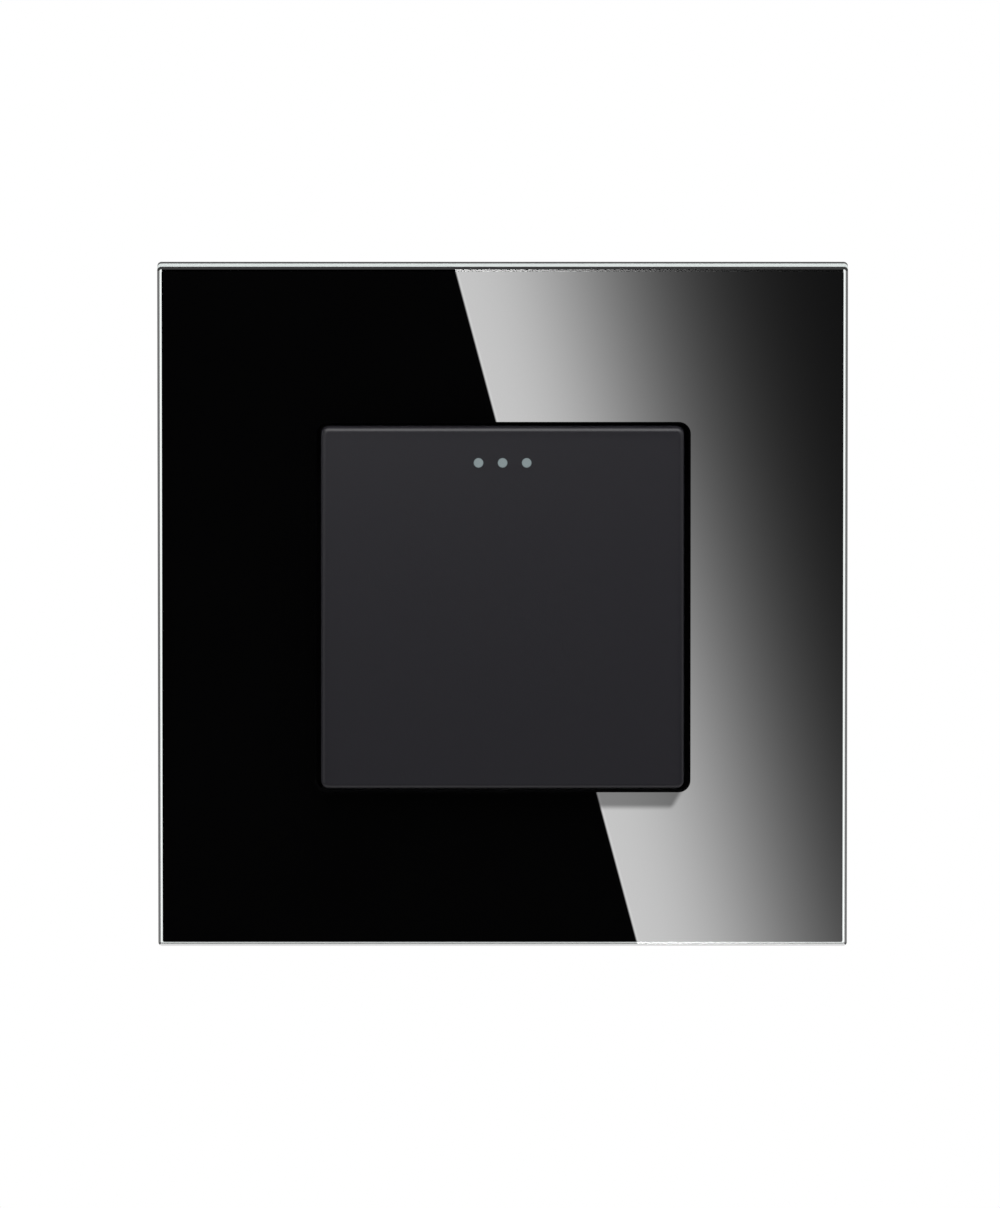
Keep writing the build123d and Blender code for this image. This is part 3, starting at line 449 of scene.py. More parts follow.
# Locator lamp: a glass-fibre board with green solder mask over its tracks, a lamp chip with a
# phosphor window, a resistor and a diode with tinned ends, and two tinned leads.
def window_group():
    # 1 inside a rectangle given by its centre and half sizes on X and Z, with a soft edge
    defaults = {"X": 0.0, "Z": 0.0, "Half X": 0.001, "Half Z": 0.001, "Soft": 0.0001}
    group, given, out = new_group("window", defaults, ("Mask",))
    x, _, z = axes_of(group)
    sides = []
    for place, centre, half in ((x, "X", "Half X"), (z, "Z", "Half Z")):
        away = calc(group, "ABSOLUTE", calc(group, "SUBTRACT", place, given[centre]))
        past = calc(group, "SUBTRACT", away, given[half])
        sides.append(calc(group, "DIVIDE", past, given["Soft"]))
    inside = calc(group, "SUBTRACT", 0.5, calc(group, "MAXIMUM", *sides))
    feed(group, out["Mask"], calc(group, "MINIMUM", calc(group, "MAXIMUM", inside, 0.0), 1.0))
    return group


window = window_group()


def windows(tree, boxes, soft=0.00008):
    # the union of several rectangles, each (x, z, half_x, half_z)
    union = 0.0
    for x, z, half_x, half_z in boxes:
        mask = use_group(tree, window, X=x, Z=z, Half_X=half_x, Half_Z=half_z, Soft=soft)["Mask"]
        union = calc(tree, "MAXIMUM", union, mask)
    return union


def both_sides(boxes):
    return [(side * x, *rest) for x, *rest in boxes for side in (1, -1)]


board_low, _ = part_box("lamp_board")
chip_low, chip_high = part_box("lamp_chip")
lamp_z = (chip_low.z + chip_high.z) / 2
LEAD_X, LEAD_Z = 0.007, 0.0124
CHIP_ROW = 0.0164
CHIP_PADS_X = (0.0068, 0.0036)
RISER_X = 0.0028
LAMP_TRACK_X = 0.0022
LAMP_PAD_X = 0.0019
HALF_TRACK = 0.0003
HALF_PAD = 0.0009
HALF_CHIP_PAD = 0.0007
HALF_LAMP_PAD = 0.0006
HALF_DIODE_PAD = 0.001
COPPER_FROM = 0.0001
COPPER_TO = 0.0002
BOARD_GREEN = (0.02, 0.13, 0.05)
MASK_DARK, MASK_PALE = (0.018, 0.11, 0.04), (0.03, 0.15, 0.06)
MASK_ON_COPPER = (0.07, 0.27, 0.1)
TINNED_PAD = (0.74, 0.72, 0.68)
board_material, tree, surface = new_material("board", BOARD_GREEN, rough=0.3)
tracks = windows(tree, both_sides([
    (LEAD_X, (LEAD_Z + CHIP_ROW) / 2, HALF_TRACK, (CHIP_ROW - LEAD_Z) / 2),
    (RISER_X, (CHIP_ROW + lamp_z) / 2, HALF_TRACK, (lamp_z - CHIP_ROW) / 2 + HALF_TRACK),
    (LAMP_TRACK_X, lamp_z, HALF_PAD, HALF_TRACK),
]))
pad_boxes = both_sides([
    (LEAD_X, LEAD_Z, HALF_PAD, HALF_PAD),
    (LAMP_PAD_X, lamp_z, HALF_LAMP_PAD, HALF_PAD),
])
for pad_x in CHIP_PADS_X:
    pad_boxes.append((pad_x, CHIP_ROW, HALF_CHIP_PAD, HALF_PAD))
    pad_boxes.append((-pad_x, CHIP_ROW, HALF_CHIP_PAD, HALF_DIODE_PAD))
front = ramp(tree, axes_of(tree)["Y"], board_low.y + COPPER_TO, board_low.y + COPPER_FROM)
tracks = calc(tree, "MULTIPLY", tracks, front)
pads = calc(tree, "MULTIPLY", windows(tree, pad_boxes), front)
weave = noise(tree, stretched(tree, place_of(tree), 1.0, 1.0, 0.2), 2500.0)
mask_tone = mix_colours(tree, weave, MASK_DARK, MASK_PALE)
mask_tone = mix_colours(tree, tracks, mask_tone, MASK_ON_COPPER)
feed(tree, surface["Base Color"], mix_colours(tree, pads, mask_tone, TINNED_PAD))
feed(tree, surface["Metallic"], pads)
feed(tree, surface["Roughness"], calc(tree, "MULTIPLY_ADD", weave, 0.1, 0.24))
set_bump(tree, surface, calc(tree, "MULTIPLY_ADD", weave, 0.1, tracks), depth=0.00003)
dress("lamp_board", board_material)


TIN, DULLED_TIN = (0.72, 0.72, 0.7), (0.56, 0.56, 0.54)
CAP_SOFT = 0.00006


def banded_chip(name, node, body, cap_width, rough):
    # a small block with plated ends, told apart along X
    low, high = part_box(node)
    material, tree, surface = new_material(name, body, rough)
    centre = (low.x + high.x) / 2
    half = (high.x - low.x) / 2 - cap_width
    away = calc(tree, "ABSOLUTE", calc(tree, "SUBTRACT", axes_of(tree)["X"], centre))
    caps = ramp(tree, away, half, half + CAP_SOFT)
    grain = use_group(tree, mould_grain, Grain=14000.0, Drift=0.3)
    shade = mix_colours(tree, caps, body, TIN)
    feed(tree, surface["Base Color"], mix_colours(tree, 1.0, shade, grain["Tone"], "MULTIPLY"))
    feed(tree, surface["Roughness"], calc(tree, "ADD", grain["Gloss"], rough))
    feed(tree, surface["Metallic"], caps)
    dress(node, material)


banded_chip("resistor", "lamp_resistor", (0.03, 0.03, 0.032), cap_width=0.0005, rough=0.3)
banded_chip("diode", "lamp_diode", (0.02, 0.02, 0.022), cap_width=0.0003, rough=0.4)
CHIP_WHITE = (0.8, 0.8, 0.76)
PHOSPHOR_DEEP, PHOSPHOR_PALE = (0.72, 0.55, 0.12), (0.82, 0.68, 0.22)
WINDOW_FROM = 0.0003
WINDOW_TO = 0.0005
chip_material, tree, surface = new_material("lamp chip", CHIP_WHITE, rough=0.35)
phosphor = ramp(tree, axes_of(tree)["Y"], chip_low.y + WINDOW_TO, chip_low.y + WINDOW_FROM)
cloudy = noise(tree, place_of(tree), 6000.0, detail=3.0)
yellow = mix_colours(tree, cloudy, PHOSPHOR_DEEP, PHOSPHOR_PALE)
feed(tree, surface["Base Color"], mix_colours(tree, phosphor, CHIP_WHITE, yellow))
feed(tree, surface["Roughness"], calc(tree, "MULTIPLY_ADD", cloudy, 0.2, 0.25))
dress("lamp_chip", chip_material)
WIRE_TIN = (0.74, 0.74, 0.72)
dress("lamp_leads", metal("tinned wire", WIRE_TIN, DULLED_TIN, rough=0.3, streaks=9000.0))

# Solder joints: bright concave cones of tin solder that wet each lead and its pad on the
# board. The two are run by hand, so one is turned and sized a little unlike the other.
SOLDER_SIDES = 24
SOLDER_PROFILE_MM = (
    (1.0, 0.0), (0.99, 0.04), (0.8, 0.1), (0.63, 0.22), (0.52, 0.38), (0.44, 0.5), (0.3, 0.56)
)
MM = 0.001
solder_form = skin_rings(
    "solder form",
    [circle(radius * MM, -height * MM, SOLDER_SIDES) for radius, height in SOLDER_PROFILE_MM],
)
SOLDER, DULLED_SOLDER = (0.78, 0.78, 0.76), (0.6, 0.6, 0.58)
solder = metal("solder", SOLDER, DULLED_SOLDER, rough=0.2, streaks=900.0, patches=700.0)
solder_joints = repeat(
    "solder_joints",
    solder_form,
    [(LEAD_X, board_low.y, LEAD_Z), (-LEAD_X, board_low.y, LEAD_Z)],
    solder,
    turn=3.0,
    spread=0.06,
    seed=2,
)
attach(solder_joints, "chassis")

# Rocker cradle, plunger and spring: the cradle is moulded in natural acetal, the plunger is
# turned from nylon, and the spring is wound from drawn steel wire, with a closed turn at each
# end.
ACETAL_WHITE = (0.68, 0.68, 0.65)
NYLON_CREAM = (0.7, 0.67, 0.58)
SPRING_STEEL, OILED_STEEL = (0.56, 0.56, 0.57), (0.4, 0.38, 0.36)
dress("rocker_cradle", moulded("acetal", ACETAL_WHITE, rough=0.36, grain=7000.0, depth=0.00001))
dress("plunger", moulded("nylon", NYLON_CREAM, rough=0.4, grain=9000.0, depth=0.00001, drift=0.15))
spring_steel = metal("spring wire", SPRING_STEEL, OILED_STEEL, rough=0.28, streaks=9000.0)
COIL_RADIUS = 0.0012
WIRE_RADIUS = 0.0002
COIL_TURNS = 7.0
CLOSED_PITCH = 2.06
STEPS_PER_TURN = 32
WIRE_SIDES = 14
END_EASING = 6
slide = next(joint for joint in frame["joints"] if joint["name"] == "plunger_slide")
slide_axis = Vector(slide["axis"]).normalized()
coil_middle = sum(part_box("plunger_spring"), Vector()) / 2
coil_points = [v.co for v in nodes["plunger_spring"].data.vertices]
coil_reach = max((point - coil_middle).dot(slide_axis) for point in coil_points)


def spring_tree():
    # wire wound about Z from the origin up, with a closed turn at each end
    tree, given = making_tree("wound spring", {
        "Turns": "Float", "Coil radius": "Float", "Wire radius": "Float", "Length": "Float",
        "Finish": "Material",
    })
    spiral = tree.nodes.new("GeometryNodeCurveSpiral")
    spiral.inputs["Resolution"].default_value = STEPS_PER_TURN
    spiral.inputs["Height"].default_value = 0.0
    feed(tree, spiral.inputs["Rotations"], given["Turns"])
    feed(tree, spiral.inputs["Start Radius"], given["Coil radius"])
    feed(tree, spiral.inputs["End Radius"], given["Coil radius"])
    # the height climbs by one wire a turn, and by the rest over the turns between the ends
    way = tree.nodes.new("GeometryNodeSplineParameter").outputs["Factor"]
    wire = calc(tree, "MULTIPLY", given["Wire radius"], CLOSED_PITCH)
    closed = calc(tree, "MULTIPLY", wire, given["Turns"])
    end_turn = calc(tree, "DIVIDE", 1.0, given["Turns"])
    spread = tree.nodes.new("ShaderNodeMapRange")
    feed(tree, spread.inputs["Value"], way)
    feed(tree, spread.inputs["From Min"], end_turn)
    feed(tree, spread.inputs["From Max"], calc(tree, "SUBTRACT", 1.0, end_turn))
    rest = calc(tree, "SUBTRACT", calc(tree, "SUBTRACT", given["Length"], closed), wire)
    opened = calc(tree, "MULTIPLY", spread.outputs[0], rest)
    climb = calc(tree, "MULTIPLY_ADD", closed, way, opened)
    eased = tree.nodes.new("GeometryNodeBlurAttribute")
    eased.inputs["Iterations"].default_value = END_EASING
    feed(tree, eased.inputs["Value"], calc(tree, "ADD", climb, given["Wire radius"]))
    lift = tree.nodes.new("ShaderNodeCombineXYZ")
    feed(tree, lift.inputs["Z"], eased.outputs[0])
    wound = tree.nodes.new("GeometryNodeSetPosition")
    feed(tree, wound.inputs["Geometry"], spiral.outputs[0])
    feed(tree, wound.inputs["Offset"], lift.outputs[0])
    round_wire = tree.nodes.new("GeometryNodeCurvePrimitiveCircle")
    round_wire.inputs["Resolution"].default_value = WIRE_SIDES
    feed(tree, round_wire.inputs["Radius"], given["Wire radius"])
    drawn = tree.nodes.new("GeometryNodeCurveToMesh")
    drawn.inputs["Fill Caps"].default_value = True
    feed(tree, drawn.inputs["Curve"], wound.outputs[0])
    feed(tree, drawn.inputs["Profile Curve"], round_wire.outputs[0])
    return close_tree(tree, drawn.outputs[0], given["Finish"])


coil_spring = run_tree("coil_spring", spring_tree(), {
    "Turns": COIL_TURNS, "Coil radius": COIL_RADIUS, "Wire radius": WIRE_RADIUS,
    "Length": 2 * coil_reach, "Finish": spring_steel,
})
coil_spring.data.shade_smooth()
coil_spring.data.set_sharp_from_angle(angle=radians(40.0))
coil_spring.data.transform(
    Matrix.Translation(coil_middle - slide_axis * coil_reach)
    @ slide_axis.to_track_quat("Z", "X").to_matrix().to_4x4()
)
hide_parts("plunger_spring")
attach(coil_spring, "rocker")
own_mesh(coil_spring)


# Rocker key: an anthracite cap with a fine satin erosion texture, slightly polished along its
# rim where fingers and its own tool shut-off have smoothed it.
def rim_group():
    # 1 at the border of a square piece about the origin, fading inwards
    group, given, out = new_group("square rim", {"Half": 0.02, "Fade": 0.001}, ("Edge",))
    x, _, z = axes_of(group)
    away = calc(group, "MAXIMUM", calc(group, "ABSOLUTE", x), calc(group, "ABSOLUTE", z))
    start = calc(group, "SUBTRACT", given["Half"], given["Fade"])
    feed(group, out["Edge"], ramp(group, away, start, given["Half"]))
    return group


square_rim = rim_group()

KEY_HALF = 0.0226
KEY_COLOUR = (0.0142, 0.0136, 0.0174)
KEY_ROUGH = 0.42
key_material, tree, surface = new_material("key plastic", KEY_COLOUR, KEY_ROUGH)
surface["Specular IOR Level"].default_value = 0.4
key_skin = use_group(tree, mould_grain, Grain=7500.0, Drift=0.16)
key_rim = use_group(tree, square_rim, Half=KEY_HALF, Fade=0.0012)["Edge"]
key_tone = mix_colours(tree, 1.0, KEY_COLOUR, key_skin["Tone"], "MULTIPLY")
feed(tree, surface["Base Color"], key_tone)
key_gloss = calc(tree, "MULTIPLY_ADD", key_rim, -0.08, key_skin["Gloss"])
feed(tree, surface["Roughness"], calc(tree, "ADD", key_gloss, KEY_ROUGH))
set_bump(tree, surface, key_skin["Height"], depth=0.00001)
dress("rocker_key", key_material)


# Light guide: clear plastic seen end-on in the key's three holes as pale, slightly frosted
# dots, with a faint darker ring of painted shade where each pin meets its bore.
def distance(tree, across, up):
    squares = calc(tree, "MULTIPLY_ADD", across, across, calc(tree, "MULTIPLY", up, up))
    return calc(tree, "SQRT", squares)


DOT_PITCH = 0.003
DOT_RADIUS = 0.00062
PIN_END = 0.0003
RING_FROM = 0.85
GUIDE_GREY = (0.23, 0.28, 0.29)
HEART_DEEP, HEART_PALE = (0.2, 0.25, 0.26), (0.28, 0.33, 0.34)
RING_SHADE = (0.12, 0.15, 0.16)
guide_material, tree, surface = new_material("light guide", GUIDE_GREY, rough=0.22)
x, _, z = axes_of(tree)
guide_points = [v.co for v in nodes["light_guide"].data.vertices]
guide_front = min(p.y for p in guide_points)
pin_ends = [p.z for p in guide_points if p.y < guide_front + PIN_END]
dot_z = (min(pin_ends) + max(pin_ends)) / 2
near_x = calc(tree, "SUBTRACT", calc(tree, "ABSOLUTE", x), DOT_PITCH)
close_x = calc(tree, "MINIMUM", calc(tree, "ABSOLUTE", x), calc(tree, "ABSOLUTE", near_x))
away_z = calc(tree, "SUBTRACT", z, dot_z)
radius = distance(tree, close_x, away_z)
# the darker ring round each dot is painted shade where the pin meets its bore
ring = ramp(tree, radius, RING_FROM * DOT_RADIUS, DOT_RADIUS)
frost = noise(tree, place_of(tree), 9000.0, detail=3.0)
heart = mix_colours(tree, frost, HEART_DEEP, HEART_PALE)
feed(tree, surface["Base Color"], mix_colours(tree, ring, heart, RING_SHADE))
feed(tree, surface["Roughness"], calc(tree, "MULTIPLY_ADD", frost, 0.15, 0.15))
dress("light_guide", guide_material)

# Mounting yoke: 1 mm steel strip, stamped, lanced and bent, then zinc plated. The rolling
# lines run up it, the passivation is mottled, and the sheared rim is brighter.
YOKE_HALF = 0.0355
YOKE_ZINC = (0.62, 0.63, 0.63)
BLUE_ZINC, GREY_ZINC = (0.64, 0.65, 0.665), (0.59, 0.6, 0.59)
SHEARED_RIM = (0.78, 0.78, 0.77)
yoke_material, tree, surface = new_material("yoke zinc", YOKE_ZINC, rough=0.36, metallic=1.0)
yoke_skin = use_group(tree, drawn_metal, Streaks=2600.0, Patches=420.0)
yoke_rim = use_group(tree, square_rim, Half=YOKE_HALF, Fade=0.0008)["Edge"]
mottle = mix_colours(tree, yoke_skin["Patch"], BLUE_ZINC, GREY_ZINC)
lined = calc(tree, "MULTIPLY_ADD", yoke_skin["Streak"], 0.26, 0.84)
mottle = mix_colours(tree, 1.0, mottle, lined, "MULTIPLY")
feed(tree, surface["Base Color"], mix_colours(tree, yoke_rim, mottle, SHEARED_RIM))
yoke_dull = calc(tree, "MULTIPLY_ADD", yoke_skin["Streak"], 0.25, 0.22)
yoke_dull = calc(tree, "MULTIPLY_ADD", yoke_skin["Patch"], 0.1, yoke_dull)
feed(tree, surface["Roughness"], yoke_dull)
set_bump(tree, surface, yoke_skin["Height"], depth=0.000008)
dress("mounting_yoke", yoke_material)

# Carrier frame: black plastic tray that the glass is bonded to, with the round marks that the
# ejector pins leave inside it.
CARRIER_BLACK = (0.02, 0.02, 0.022)
CARRIER_BACK_Y = -0.0034
carrier_plastic = moulded("carrier plastic", CARRIER_BLACK, rough=0.4, grain=4800.0, depth=0.00003)
dress("carrier_frame", carrier_plastic)
MARK_SIDES = 28
MARK_PROFILE_MM = (
    (1.5, -0.05), (1.5, 0.0), (1.44, 0.05), (1.34, 0.05), (1.26, 0.01), (0.1, 0.01)
)
MARK_PLACES = ((0.0165, 0.0328), (0.0385, 0.0125), (0.0328, 0.0328))
RECESS_Y = 0.0224
RECESS_MARK_X = 0.0052
carrier_spots = [
    (a * x, CARRIER_BACK_Y, b * z)
    for a in (-1, 1)
    for b in (-1, 1)
    for x, z in MARK_PLACES
]
recess_spots = [(-RECESS_MARK_X, RECESS_Y, 0.0), (RECESS_MARK_X, RECESS_Y, 0.0)]
for name, spots, finish, slot in (
    ("ejector_marks", carrier_spots, carrier_plastic, "carrier_plastic"),
    ("base_ejector_marks", recess_spots, base_nylon, "base_plastic"),
):
    mark_form = skin_rings(
        "mark form",
        [circle(radius * MM, height * MM, MARK_SIDES) for radius, height in MARK_PROFILE_MM],
    )
    marks = repeat(name, mark_form, spots, finish, turn=3.0, seed=7)
    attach(marks, "chassis")


# Bonding foam: a die-cut ring of closed-cell tape between glass and carrier. Its cut edges
# bulge and waver a little where the glass squeezes it.
def rounded_square(half, radius, steps=6, per_side=1):
    # (x, z) round a square with rounded corners, anticlockwise from the lower right corner
    points = []
    for quarter in range(4):
        turn = quarter * pi / 2
        for step in range(steps + 1):
            angle = -pi / 2 + pi / 2 * step / steps
            x = half - radius + radius * cos(angle)
            z = -(half - radius) + radius * sin(angle)
            points.append((x * cos(turn) - z * sin(turn), x * sin(turn) + z * cos(turn)))
        run = 2 * (half - radius)
        for part in range(1, per_side):
            z = -run / 2 + run * part / per_side
            points.append((half * cos(turn) - z * sin(turn), half * sin(turn) + z * cos(turn)))
    return points


def square_ring(half, corner, y, steps=8):
    return [Vector((x, y, z)) for x, z in rounded_square(half, corner, steps)]


pad_low, pad_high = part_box("bonding_pad")
PAD_INNER_HALF = 0.026
PAD_SETBACK = 0.0003
PAD_CORNER = 0.0012
PAD_CORNER_STEPS = 5
PAD_BULGE = 0.0002
PAD_WAVER = 0.00007
WAVER_X, WAVER_Z = 2300, 1700
PAD_ROWS = 5
POINTS_PER_SIDE = 28
pad_rings = []
for half, outwards in ((pad_high.x - PAD_SETBACK, 1), (PAD_INNER_HALF + PAD_SETBACK, -1)):
    for row in range(PAD_ROWS):
        share = row / (PAD_ROWS - 1)
        rise = share if outwards > 0 else 1 - share
        y = pad_high.y + (pad_low.y - pad_high.y) * rise
        belly = sin(pi * share)
        swollen = half + outwards * PAD_BULGE * belly
        ring = []
        for x, z in rounded_square(swollen, PAD_CORNER, PAD_CORNER_STEPS, POINTS_PER_SIDE):
            waver = PAD_WAVER * sin(x * WAVER_X + z * WAVER_Z) * belly
            ring.append(Vector((x * (1 + waver / half), y, z)))
        pad_rings.append(ring)
bonding_foam = skin_rings("bonding_foam", pad_rings, loop=True)
FOAM_BLACK = (0.022, 0.022, 0.023)
CELL_PIT_SHADE, CELL_PALE = (0.01, 0.01, 0.011), (0.034, 0.034, 0.035)
FOAM_CELLS = 5200.0
foam_material, tree, surface = new_material("foam tape", FOAM_BLACK, rough=0.85)
cells = tree.nodes.new("ShaderNodeTexVoronoi")
cells.inputs["Scale"].default_value = FOAM_CELLS
tree.links.new(place_of(tree), cells.inputs["Vector"])
# each cell is darker towards its sunk middle: painted shade in the pits, beside their real bump
hollow = ramp(tree, cells.outputs["Distance"], 0.15, 0.6)
feed(tree, surface["Base Color"], mix_colours(tree, hollow, CELL_PIT_SHADE, CELL_PALE))
feed(tree, surface["Roughness"], calc(tree, "MULTIPLY_ADD", hollow, 0.15, 0.75))
set_bump(tree, surface, hollow, depth=0.00006)
bonding_foam.data.materials.append(foam_material)
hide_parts("bonding_pad")
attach(bonding_foam, "chassis")

# Gap shade sheet: a thin black ring that lies on the yoke round the mechanism, under the
# carrier's collar. It is a dark sheet put in as painted shade, which keeps the gap round the
# key dark.
SHADE_SHEET_FRONT = -0.00115
SHADE_SHEET_BACK = -0.001005
SHADE_SHEET_OUTER, SHADE_SHEET_OUTER_CORNER = 0.0247, 0.002
SHADE_SHEET_INNER, SHADE_SHEET_INNER_CORNER = 0.0224, 0.0014
SHADE_SHEET_EDGE = 0.00003
SHADE_SHEET_BLACK = (0.007, 0.007, 0.0075)
shade_sheet_steps = (
    (SHADE_SHEET_OUTER, SHADE_SHEET_OUTER_CORNER, SHADE_SHEET_BACK),
    (SHADE_SHEET_OUTER, SHADE_SHEET_OUTER_CORNER, SHADE_SHEET_FRONT + SHADE_SHEET_EDGE),
    (SHADE_SHEET_OUTER - SHADE_SHEET_EDGE, SHADE_SHEET_OUTER_CORNER, SHADE_SHEET_FRONT),
    (SHADE_SHEET_INNER + SHADE_SHEET_EDGE, SHADE_SHEET_INNER_CORNER, SHADE_SHEET_FRONT),
    (SHADE_SHEET_INNER, SHADE_SHEET_INNER_CORNER, SHADE_SHEET_FRONT + SHADE_SHEET_EDGE),
    (SHADE_SHEET_INNER, SHADE_SHEET_INNER_CORNER, SHADE_SHEET_BACK),
)
light_seal = skin_rings("light_seal", [square_ring(*step) for step in shade_sheet_steps], loop=True)
light_seal.data.materials.append(
    moulded("shade sheet film", SHADE_SHEET_BLACK, rough=0.55, grain=9000.0, depth=0.000005)
)
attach(light_seal, "chassis")

# Glass plate: 4 mm float glass with satin-ground edges and polished arrises. Black enamel fired
# on its back makes the face a black mirror. It stops short of the arris, which leaves a bright
# line of clear glass round the plate. The same black is put on the rear of the ground edge, as a
# painted dark line for the shade along the plate's edge.
glass_low, glass_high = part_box("glass_panel")
PLATE_CORNER = 0.0005
OPENING_HALF = 0.02315
OPENING_CORNER = 0.0012
OUTER_ARRIS = 0.0003
INNER_ARRIS = 0.0003
CLEAR_MARGIN = 0.00024
DARK_EDGE_RUN = 0.0013
GLASS_IOR = 1.5
half_plate = glass_high.x
enamel_outer = half_plate - OUTER_ARRIS - CLEAR_MARGIN
face_corner = PLATE_CORNER - OUTER_ARRIS
# the finishes: clear glass, satin-ground glass, the black mirror, and the enamel from outside
CLEAR, GROUND, BACKED, ENAMEL = range(4)
glass_steps = (
    # the rear strip of the side takes the enamel as a painted dark line for the shade along the
    # edge
    (half_plate, PLATE_CORNER, glass_high.y, ENAMEL),
    (half_plate, PLATE_CORNER, glass_high.y - DARK_EDGE_RUN, GROUND),
    (half_plate, PLATE_CORNER, glass_low.y + OUTER_ARRIS, BACKED),
    (half_plate - OUTER_ARRIS, face_corner, glass_low.y, CLEAR),
    (enamel_outer, face_corner, glass_low.y, BACKED),
    (OPENING_HALF + INNER_ARRIS, OPENING_CORNER + INNER_ARRIS, glass_low.y, BACKED),
    (OPENING_HALF, OPENING_CORNER, glass_low.y + INNER_ARRIS, BACKED),
    (OPENING_HALF, OPENING_CORNER, glass_high.y, ENAMEL),
    (enamel_outer, face_corner, glass_high.y, CLEAR),
)
glass_plate = skin_rings(
    "glass_plate",
    [square_ring(half, corner, y) for half, corner, y, _ in glass_steps],
    loop=True,
    finishes=[finish for _, _, _, finish in glass_steps],
)
CLEAR_TINT = (0.93, 0.97, 0.955)
GREENER_TINT, WHITER_TINT = (0.92, 0.965, 0.95), (0.94, 0.975, 0.96)
clear_material, tree, surface = new_material("float glass", CLEAR_TINT, rough=0.0)
surface["Transmission Weight"].default_value = 1.0
surface["IOR"].default_value = GLASS_IOR
tint = noise(tree, place_of(tree), 60.0)
feed(tree, surface["Base Color"], mix_colours(tree, tint, GREENER_TINT, WHITER_TINT))
glass_plate.data.materials.append(clear_material)
EDGE_GREEN = (0.56, 0.61, 0.6)
EDGE_DEEP, EDGE_PALE = (0.5, 0.555, 0.54), (0.64, 0.69, 0.68)
ground_material, tree, surface = new_material("ground edge", EDGE_GREEN, rough=0.4)
wheel = noise(tree, place_of(tree), 5200.0, detail=3.0, roughness=0.7)
feed(tree, surface["Base Color"], mix_colours(tree, wheel, EDGE_DEEP, EDGE_PALE))
feed(tree, surface["Roughness"], calc(tree, "MULTIPLY_ADD", wheel, 0.25, 0.28))
set_bump(tree, surface, wheel, depth=0.00001)
glass_plate.data.materials.append(ground_material)
ENAMEL_BLACK = (0.0012, 0.0012, 0.0013)
BACKED_DEEP, BACKED_PALE = (0.0009, 0.0009, 0.001), (0.0015, 0.0015, 0.0016)
FIRED_DEEP, FIRED_PALE = (0.003, 0.003, 0.003), (0.005, 0.005, 0.0053)
face_material, tree, surface = new_material("backed face", ENAMEL_BLACK, rough=0.0)
surface["IOR"].default_value = GLASS_IOR
cast = noise(tree, place_of(tree), 60.0)
feed(tree, surface["Base Color"], mix_colours(tree, cast, BACKED_DEEP, BACKED_PALE))
glass_plate.data.materials.append(face_material)
enamel_material, tree, surface = new_material("back enamel", ENAMEL_BLACK, rough=0.5)
surface["Specular IOR Level"].default_value = 0.15
fired = noise(tree, place_of(tree), 3000.0, detail=3.0)
feed(tree, surface["Base Color"], mix_colours(tree, fired, FIRED_DEEP, FIRED_PALE))
through_glass = tree.nodes.new("ShaderNodeNewGeometry").outputs["Backfacing"]
outside = calc(tree, "SUBTRACT", 1.0, through_glass)
dull = calc(tree, "MULTIPLY_ADD", fired, 0.2, 0.45)
feed(tree, surface["Roughness"], calc(tree, "MULTIPLY", dull, outside))
glass_plate.data.materials.append(enamel_material)
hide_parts("glass_panel")
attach(glass_plate, "chassis")

# Camera: a very long lens square in front of the plate and a little above it. The plate's
# centre stands beside the middle of the frame, as it does in the picture.
IMAGE_WIDTH = 1000
IMAGE_HEIGHT = 1208
PLATE_SCALE = 8020.0
CENTRE_PX = (502.6, 607.3)
CAMERA_DISTANCE = 4.0
ELEVATION = radians(10.0)
back = Vector((0.0, -cos(ELEVATION), sin(ELEVATION)))
across = Vector((1.0, 0.0, 0.0))
upwards = back.cross(across)
face_centre = Vector((0.0, glass_low.y, 0.0))
aim = face_centre - across * ((CENTRE_PX[0] - IMAGE_WIDTH / 2) / PLATE_SCALE)
aim += upwards * ((CENTRE_PX[1] - IMAGE_HEIGHT / 2) / PLATE_SCALE)
camera_data = bpy.data.cameras.new("camera")
camera = bpy.data.objects.new("camera", camera_data)
bpy.context.scene.collection.objects.link(camera)
camera.location = aim + back * CAMERA_DISTANCE
camera.rotation_mode = "QUATERNION"
camera.rotation_quaternion = (-back).to_track_quat("-Z", "Y")
camera_data.sensor_width = 36.0
camera_data.lens = camera_data.sensor_width * CAMERA_DISTANCE * PLATE_SCALE / IMAGE_HEIGHT
camera_data.clip_start, camera_data.clip_end = 0.01, 100.0
bpy.context.scene.camera = camera

# Studio card: the long softbox that the glass mirrors, bright along a slanting edge and fading
# to the right. It is placed by the pixels at which its edge and its dimmer band show, and only
# polished surfaces see it. The dimmer band is a painted shadow, which the glass shows as the
# key's shadow just under the key.
CARD_Y = -0.3
CARD_REACH = 0.16
CARD_ENDS = 0.25
CARD_STRENGTH = 13.9
CARD_FADE = 0.0177
TAIL_FADE = 0.0212
TAIL_SHARE = 0.076
EDGE_TOP_PX = (453.0, 265.0)
EDGE_FOOT_PX = (636.0, 942.0)
EDGE_SOFT = 0.0003
RIM_WIDTH = 0.0006
RIM_GAIN = 0.25
BAND_TOP_PX = (684.0, 787.0)
BAND_FOOT_PX = (672.0, 807.5)
BAND_SOFT = 0.0005
SHADOW_BAND_DIM = 0.62
mirror_eye = Vector((camera.location.x, 2 * glass_low.y - camera.location.y, camera.location.z))


def glass_point(px, py):
    # the point of the glass face that shows at a pixel
    sight = across * ((px - IMAGE_WIDTH / 2) / PLATE_SCALE)
    sight += upwards * ((IMAGE_HEIGHT / 2 - py) / PLATE_SCALE)
    sight -= back * CAMERA_DISTANCE
    return camera.location + sight * ((glass_low.y - camera.location.y) / sight.y)


